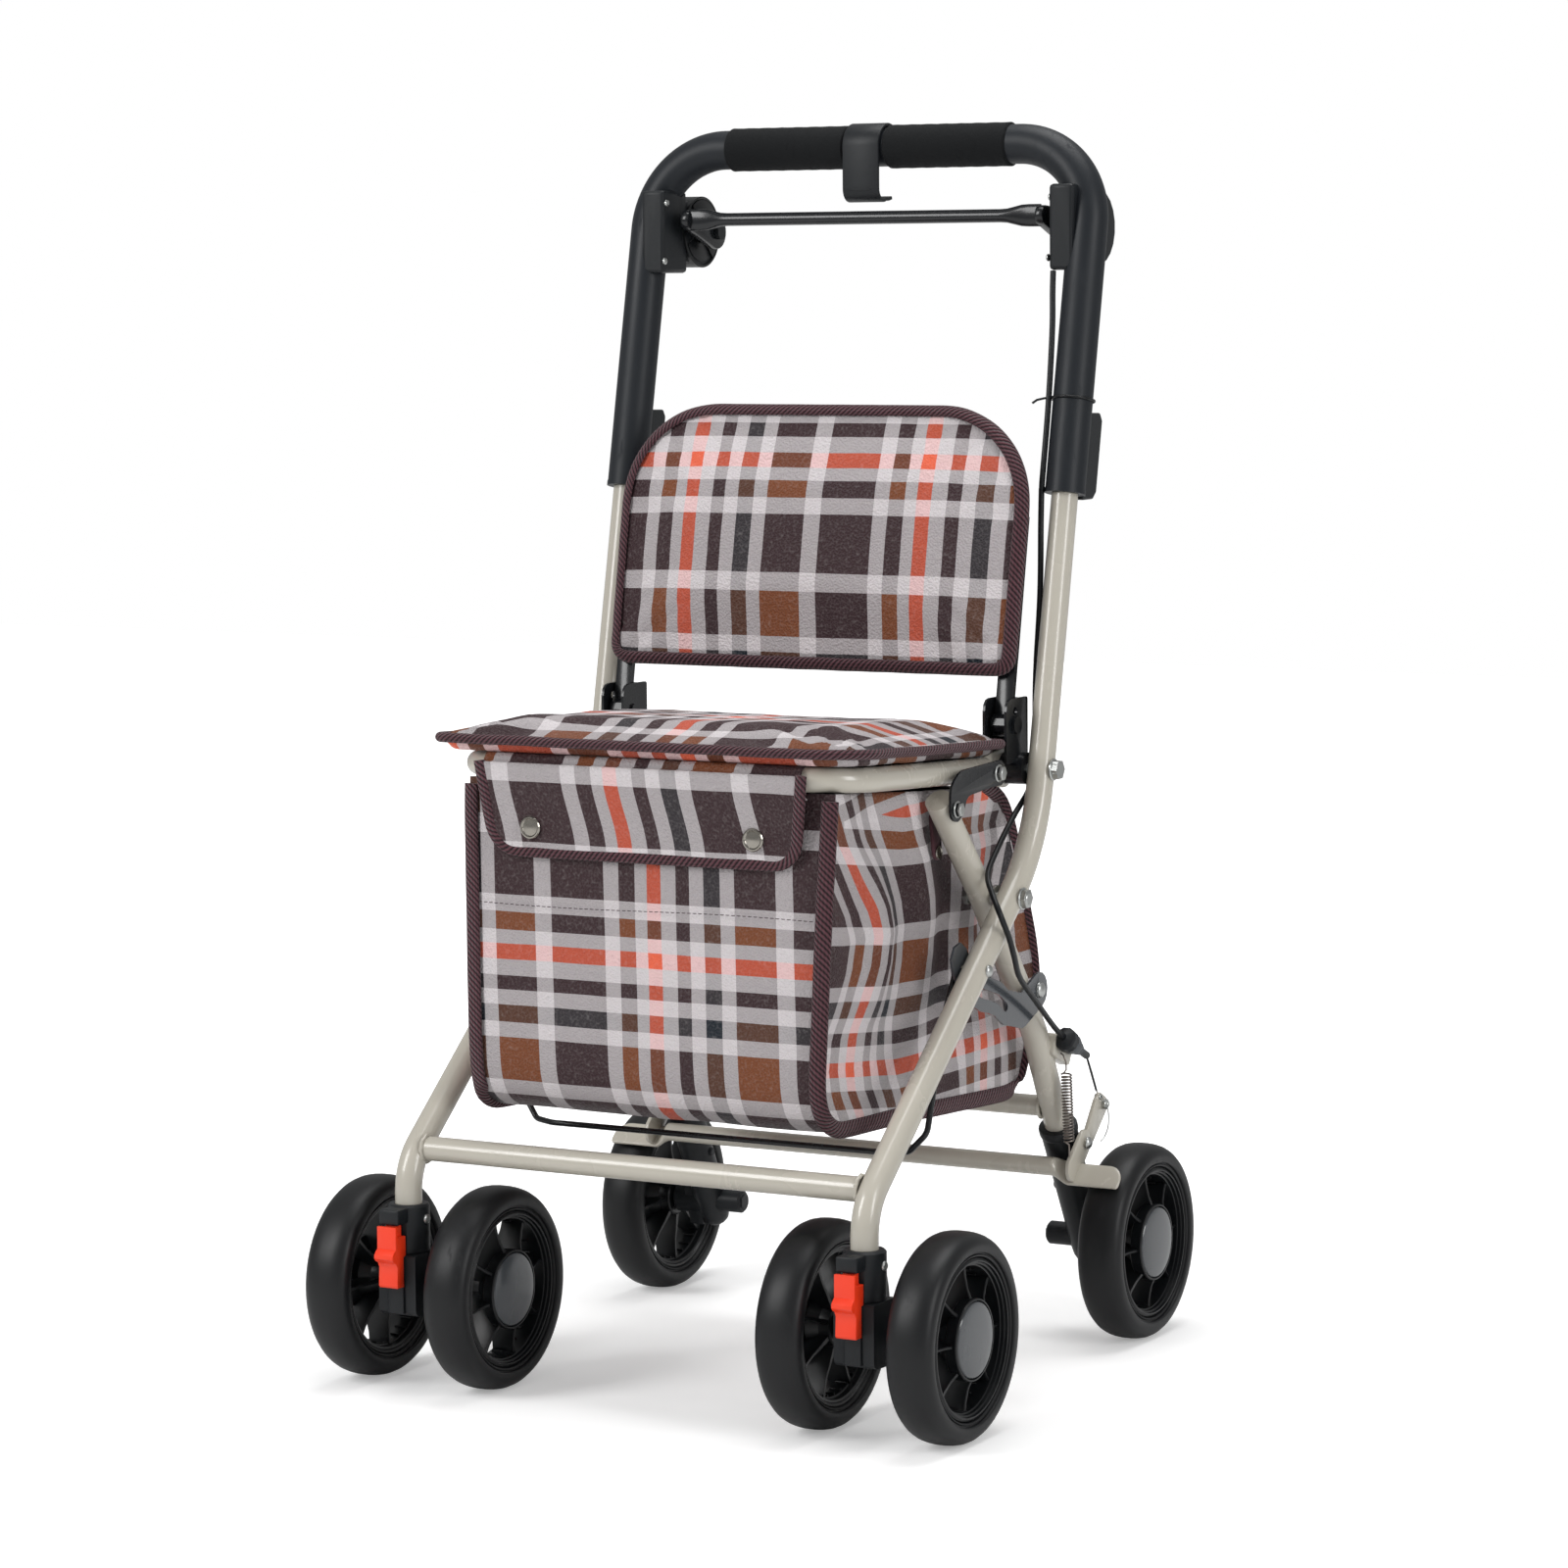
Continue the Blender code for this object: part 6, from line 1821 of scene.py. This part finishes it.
# %% Side tab on the right gusset
bm = bmesh.new()
tab = outline([(-44.0, 424.0), (-30.0, 424.0), (-26.0, 392.0), (-38.0, 386.0)], [2.0, 2.0, 7.0, 7.0], 12.0)
plate(bm, tab, 150.2, 153.0, 0.9)
side_tab = finish(bm, "side_tab", TAPE, "frame", crease=50.0)
scatter("side_tab_stud", chrome_tree, SNAP, [(153.0, -33.5, 395.5, euler_of((1, 0, 0)), 0.7)], "frame")

# %% Cloth of the bag
print("cloth of the bag done")

# %% Wire that carries the bag
EYE = (-46.8, 309.8)
bm = bmesh.new()
side_points = [(173.4, *EYE), (173.4, -62.0, 286.0), (170.0, -86.0, 198.0), (158.0, -91.0, 184.5),
               (143.0, -94.0, 183.0)]
line = side_points + [(-x, y, z) for x, y, z in reversed(side_points)]
bar(bm, rounded(line, [30.0, 14.0, 8.0, 30.0, 30.0, 8.0, 14.0, 30.0], 6.0), 2.25, 16)
for s in BOTH:
    pin(bm, EYE, 4.2, s * 172.0, s * 180.6, 20)
finish(bm, "bent_cradle_wire", PRESSED, "frame", "bag_cradle_wire", crease=40.0)
print("bag done")

# %% [markdown]
# ## Handle and hand brake
# A push bar slides in the uprights. It carries two foam grips, a bag hook in the middle,
# and below it the brake bar that turns in a dial at each end.

# %% Push bar and grips
HANDLE_Y = 157.25
HANDLE_Z = 910.7
SLEEVE_FOOT = 650.8
GRIP_NEAR = 18.4
GRIP_FAR = 119.6
foot_y = rake_y(SLEEVE_FOOT)
push = rounded([(-FRAME_X, foot_y, SLEEVE_FOOT), (-FRAME_X, HANDLE_Y, HANDLE_Z),
                (FRAME_X, HANDLE_Y, HANDLE_Z), (FRAME_X, foot_y, SLEEVE_FOOT)], 62.0, 3.0)
along = Vector((0.0, HANDLE_Y - foot_y, HANDLE_Z - SLEEVE_FOOT)).normalized()
bm = bmesh.new()
bar(bm, push, 15.0, 48)
for s in BOTH:
    foot = Vector((s * FRAME_X, foot_y, SLEEVE_FOOT))
    bar(bm, [foot - along * 0.2, foot + along * 3.4], 15.4, 48)
finish(bm, "bent_push_bar", SATIN, "handle", "handle_bar", crease=40.0)

grip_line = [(16.55 + 0.12 * math.sin(k * 1.9), GRIP_NEAR + (GRIP_FAR - GRIP_NEAR) * k / 24)
             for k in range(25)]
grip_line = ([(15.2, 17.2), (15.9, 17.4), (16.5, GRIP_NEAR)] + grip_line
             + [(16.5, GRIP_FAR), (15.9, 120.7), (15.2, 120.9)])
for side, s in SIDES:
    bm = bmesh.new()
    lathe(bm, grip_line, (0.0, HANDLE_Y, HANDLE_Z), "X", 56, closed=True, flip=s)
    finish(bm, side + "_foam_grip", FOAM, "handle", side + "_grip", crease=50.0)
print("push bar and grips done")

# %% Bag hook


def strip(line, thick):
    """Closed side view outline of a bent strip of even thickness."""
    pts = [Vector(p) for p in line]
    upper = []
    lower = []
    for i, p in enumerate(pts):
        t = heading(pts, i)
        n = Vector((-t.y, t.x))
        upper.append(tuple(p + n * thick / 2))
        lower.append(tuple(p - n * thick / 2))
    return upper + list(reversed(lower))


round_bar = arc((HANDLE_Y, HANDLE_Z), 16.9, -40, 8, 28)
neck = [(140.35, 890.0), (140.35, 879.5)]
curl = arc((HANDLE_Y - 7.9, HANDLE_Z - 31.7), 9.0, 188, 12, 10)
hook_line = round_bar + neck + curl + [(158.0, 871.0), (162.3, 872.0)]
bm = bmesh.new()
plate(bm, strip(hook_line, 2.6), -15.6, 15.6, 0.9)
plate(bm, strip(hook_line[29:31], 4.0), -9.0, 9.0, 0.9)
finish(bm, "moulded_bag_hook", BLACK, "handle", "bag_hook", crease=30.0)
print("bag hook done")

# %% Brake housings with their dials
DIAL = (HANDLE_Y + 24.75, HANDLE_Z - 62.7)
DIAL_X = 165.4
upper_fan = arc(DIAL, 25.4, -52.0, 11.0, 17) + [(DIAL[0] - 9.0, DIAL[1] + 7.0),
                                                (DIAL[0] + 3.0, DIAL[1] - 6.5)]
lower_fan = arc(DIAL, 23.0, -156.0, 92.0 / 12, 13) + [(DIAL[0] + 5.0, DIAL[1] - 11.5),
                                                      (DIAL[0] - 12.0, DIAL[1] - 4.0)]
spots = []
for side, s in SIDES:
    dress(side + "_brake_housing", BLACK, 1.4)
    inner = s * DIAL_X
    bm = bmesh.new()
    plate(bm, upper_fan, inner, inner - s * 1.8, 0.7)
    plate(bm, lower_fan, inner, inner - s * 0.9, 0.4)
    lathe(bm, [(27.8, 0.0), (27.8, 1.3), (26.6, 1.7), (25.8, 1.2), (25.8, 0.0)], (inner, *DIAL), "X", 64,
          closed=True, flip=-s)
    lathe(bm, [(8.2, 0.0), (8.2, 7.0), (7.4, 7.8), (4.4, 7.8), (0.0, 7.6)], (inner, *DIAL), "X", 32, flip=-s)
    finish(bm, side + "_dial_insert", SMOOTH, "handle", crease=30.0)
    for point in ((129.7, 870.2), (126.0, 825.3)):
        spots.append((s * 165.9, *point, euler_of((-s, 0, 0), 0.4), 0.62))
    spots.append((s * 149.6, *DIAL, euler_of((-s, 0, 0), 0.2), 0.8))
scatter("housing_screws", zinc_tree, PAN, spots, "handle")
print("brake housings done")

# %% Brake bar with flattened ends
HAND_BAR = (141.5, 857.0)
half_marks = [-152.0, -147.0, -142.0, -136.0, -130.0, -124.0, -118.0]
marks = half_marks + [-100.0 + 20.0 * k for k in range(11)]
marks += [-m for m in reversed(half_marks)]


def flat_end(i):
    """Round in the middle, pressed flat and wide towards the levers."""
    share = clamped((abs(marks[i]) - 120.0) / 20.0)
    share = share * share * (3.0 - 2.0 * share)
    return ring_section(5.0 + 3.4 * share, 28, 5.0 - 2.2 * share)


bm = bmesh.new()
sweep(bm, [(x, *HAND_BAR) for x in marks], flat_end, seed=(0, 0, 1))
for s in BOTH:
    plate(bm, capsule(DIAL, HAND_BAR, 13.5, 7.5, 16), s * 149.8, s * 156.6, 1.2)
finish(bm, "brake_pull_bar", PRESSED, "hand_brake", "brake_bar", crease=36.0)
print("hand brake done")

# %% Wire tie that holds the cable to the push bar
TIE_Z = 720.0
SIDEWAYS = Vector((1, 0, 0))
middle = Vector((FRAME_X, rake_y(TIE_Z), TIE_Z))
over = Vector((0.0, RAKE, 1.0)).normalized().cross(SIDEWAYS).normalized()
ring = []
for k in range(48):
    a = 2 * math.pi * k / 48
    r = 15.9 + 2.2 * max(0.0, math.cos(a - 2.6)) ** 6
    ring.append(middle + SIDEWAYS * (r * math.cos(a)) + over * (r * math.sin(a)))
bm = bmesh.new()
bar(bm, ring, 1.1, 8, loop=True)
tail = middle - SIDEWAYS * 14.0 - over * 8.4
tail_steps = ((0.0, 0.0, 0.0), (-4.0, -3.4, -0.4), (-9.0, -5.6, -1.6), (-12.5, -6.2, -4.0))
bar(bm, [tail + Vector(step) for step in tail_steps], 0.9, 8)
finish(bm, "cable_tie", SMOOTH, "handle", crease=60.0)
print("tie done")

# %% [markdown]
# ## Brake cable and spring
# The cable comes out of the right hand brake housing, follows the push bar, loops past
# the seat and ends in a threaded adjuster. A bare wire goes on to the lever
# of the rear brake, and a coil spring pulls the lever back. The lower stretch of the
# cable rides on no body and keeps its place, because its ends are on two bodies.

# %% Cable routes
SHEATH_R = 2.2


def beside_bar(high, low, marks):
    """Points down the push bar from (share of the way, x, distance in front of the bar's axis)."""
    points = []
    for share, x, ahead in marks:
        z = high + (low - high) * share
        points.append((x, rake_y(z) - ahead, z))
    return points


def run_of(path):
    """Length of a path."""
    return sum((b - a).length for a, b in zip(path, path[1:]))


route = beside_bar(815.4, 660.0, ((0.0, 168.6, 9.7), (0.1, 169.8, 10.0), (0.29, 172.6, 10.6),
                                  (0.64, 174.0, 9.3), (1.0, 174.2, 9.0)))
upper = smooth_path(route + [(174.4, rake_y(653.4) - 8.8, 653.4)], 6.0)
route = beside_bar(654.8, 515.0, ((0.0, 174.2, 8.9), (0.19, 175.0, 6.4), (0.56, 176.9, 1.4),
                                  (1.0, 176.9, -3.4)))
route += [(176.4, 79.8, 470.0), (176.2, 80.2, 449.0), (176.2, 68.5, 432.0), (176.8, 43.0, 416.0),
          (176.6, 15.0, 393.5), (180.5, -8.0, 378.0), (190.0, -20.0, 366.0), (201.5, -29.5, 351.5),
          (203.6, -19.5, 333.5), (201.5, -7.0, 318.0), (195.5, 14.0, 300.0), (189.0, 54.0, 276.5),
          (185.6, 88.0, 254.5), (184.8, 108.2, 241.9)]
lower = smooth_path(route, 6.0)
bm = bmesh.new()
bar(bm, upper, SHEATH_R, 14)
upper_piece = finish(bm, "upper_cable_sheath", CABLE, "handle", "upper_cable", crease=60.0)
bm = bmesh.new()
bar(bm, lower, SHEATH_R, 14)
lower_piece = finish(bm, "lower_cable_sheath", CABLE, None, "lower_cable", crease=60.0)
print("upper cable", round(run_of(upper)), "mm, lower cable", round(run_of(lower)), "mm")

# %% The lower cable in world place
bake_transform(lower_piece)

# %% Spring of the rear brake
COILS = 22
COIL_R = 3.7
top = Vector((184.8, 114.0, 215.0))
foot = Vector((184.8, 118.6, 158.0))
length = (foot - top).length
axis = (foot - top).normalized()
one = axis.orthogonal().normalized()
two = axis.cross(one)
coil = []
for k in range(COILS * 16 + 1):
    a = 2 * math.pi * k / 16
    down = axis * (2.0 + (length - 5.0) * k / (COILS * 16))
    coil.append(top + down + (one * math.cos(a) + two * math.sin(a)) * COIL_R)
hook = [Vector(p) for p in ((180.3, 113.6, 228.6), (182.6, 113.6, 227.0), (184.8, 113.6, 222.0))]
hook += [top - axis * 1.0, top + axis * 1.0 + one * 1.8]
bm = bmesh.new()
bar(bm, hook + coil + [foot - axis * 1.6 + one * 1.8, foot, foot + axis * 9.2], 0.68, 8)
finish(bm, "coil_spring", STEEL, home["brake_spring"], "brake_spring", crease=80.0)
print("spring of", COILS, "coils done")

# %% Cable adjuster
start = Vector((184.8, 109.0, 241.3))
aim = (Vector((184.8, 150.0, 221.6)) - start).normalized()
knob = ((-1.6, 3.2), (-0.6, 4.6), (1.4, 8.2), (2.8, 9.2), (9.4, 9.2), (10.8, 8.4), (11.8, 6.0))
nut = ((11.6, 5.6), (12.4, 7.8), (20.5, 7.8), (22.5, 7.0), (24.0, 5.4), (30.0, 5.0), (31.4, 3.8))
stub = ((31.0, 2.6), (39.0, 2.6), (40.0, 2.0), (45.2, 1.8), (45.6, 1.2))


def adjuster_part(marks, sides):
    """Drawing of a part turned about the cable's own line from (distance, radius) pairs."""
    bm = bmesh.new()
    sweep(bm, [start + aim * d for d, r in marks], lambda i: ring_section(marks[i][1], sides))
    return bm


finish(adjuster_part(knob, 10), "adjuster_knob", BLACK, home["cable_adjuster"], "cable_adjuster", crease=24.0)
finish(adjuster_part(nut, 6), "adjuster_nut", DARK_GREY, home["cable_adjuster"], crease=24.0)
bm = adjuster_part(stub, 20)
wire_end = Vector((184.8, 168.0, 191.0))
mouth = start + aim * 45.0
bar(bm, [mouth, mouth.lerp(wire_end, 0.5) + Vector((0.0, 0.5, 0.3)), wire_end], 0.7, 8)
finish(bm, "adjuster_stub", ZINC, home["cable_adjuster"], crease=30.0)
print("adjuster done")

# %% Clamp and spare wire on the rear brake's lever
bm = bmesh.new()
pin(bm, (176.5, 180.5), 4.0, 186.2, 189.4, 20)
pin(bm, (176.5, 180.5), 2.2, 189.0, 190.6, 12)
pin(bm, (170.0, 187.0), 2.2, 182.2, 187.4, 12)
spare = [(187.6, 169.6, 188.4), (188.6, 172.6, 184.0), (190.0, 176.4, 176.0), (189.6, 178.6, 169.0),
         (189.2, 178.0, 162.0), (188.4, 173.4, 155.5), (187.6, 168.8, 153.0)]
bar(bm, smooth_path(spare, 2.0), 0.5, 8)
finish(bm, "lever_clamp", ZINC, "rear_brake", crease=30.0)
print("clamp done")

# %% [markdown]
# ## Floor and light
# The floor is a wide pale sheet that keeps the walker's shadow. Three soft lamps stand
# for the studio's boxes: a broad one from the front left, one from the right and one above.

# %% Floor and background
FLOOR_HALF = 6000
WHITE = (1.0, 1.0, 1.0, 1.0)
bm = bmesh.new()
corners = ((-FLOOR_HALF, -FLOOR_HALF, 0), (FLOOR_HALF, -FLOOR_HALF, 0), (FLOOR_HALF, FLOOR_HALF, 0),
           (-FLOOR_HALF, FLOOR_HALF, 0))
bm.faces.new([bm.verts.new(p) for p in corners])
FLOOR, tree, shader = new_material("pale floor", (0.9, 0.9, 0.9, 1.0), 0.7, specular=0.1)
calc = partial(math_node, tree)
shader.inputs["Emission Color"].default_value = WHITE
seen = tree.nodes.new("ShaderNodeLightPath").outputs["Is Camera Ray"]
apart = tree.nodes.new("ShaderNodeVectorMath")
apart.operation = "LENGTH"
tree.links.new(tree.nodes.new("ShaderNodeTexCoord").outputs["Object"], apart.inputs[0])
far = calc("MULTIPLY", calc("SUBTRACT", apart.outputs["Value"], 0.45), 0.9, True)
glow = calc("ADD", calc("MULTIPLY", far, 0.6), 0.3)
tree.links.new(calc("MULTIPLY", seen, glow), shader.inputs["Emission Strength"])
show("floor", mesh_of(bm, "floor"), FLOOR)

world = bpy.data.worlds.new("studio")
bpy.context.scene.world = world
world.use_nodes = True
tree = world.node_tree
back = tree.nodes["Background"].inputs
back["Color"].default_value = WHITE
seen = tree.nodes.new("ShaderNodeLightPath").outputs["Is Camera Ray"]
tree.links.new(math_node(tree, "ADD", math_node(tree, "MULTIPLY", seen, 0.6), 0.4), back["Strength"])
print("floor and background done")

# %% Light


def soft_lamp(name, place, target, size, power):
    """A rectangular lamp at a place, in metres, that shines at a target."""
    light = bpy.data.lights.new(name, "AREA")
    light.shape = "RECTANGLE"
    light.size, light.size_y = size
    light.energy = power
    lamp = bpy.data.objects.new(name, light)
    bpy.context.scene.collection.objects.link(lamp)
    lamp.location = place
    lamp.rotation_euler = (Vector(target) - Vector(place)).to_track_quat("-Z", "Y").to_euler()


soft_lamp("key", (-1.6, -2.6, 2.2), (0, 0, 0.45), (1.1, 1.8), 60.0)
soft_lamp("fill", (3.0, -0.9, 1.6), (0, 0, 0.45), (0.8, 1.8), 34.0)
soft_lamp("top", (0.2, 0.4, 3.0), (0, 0, 0.4), (1.8, 1.8), 44.0)
bpy.context.scene.view_settings.view_transform = "Standard"
print("3 lamps done")
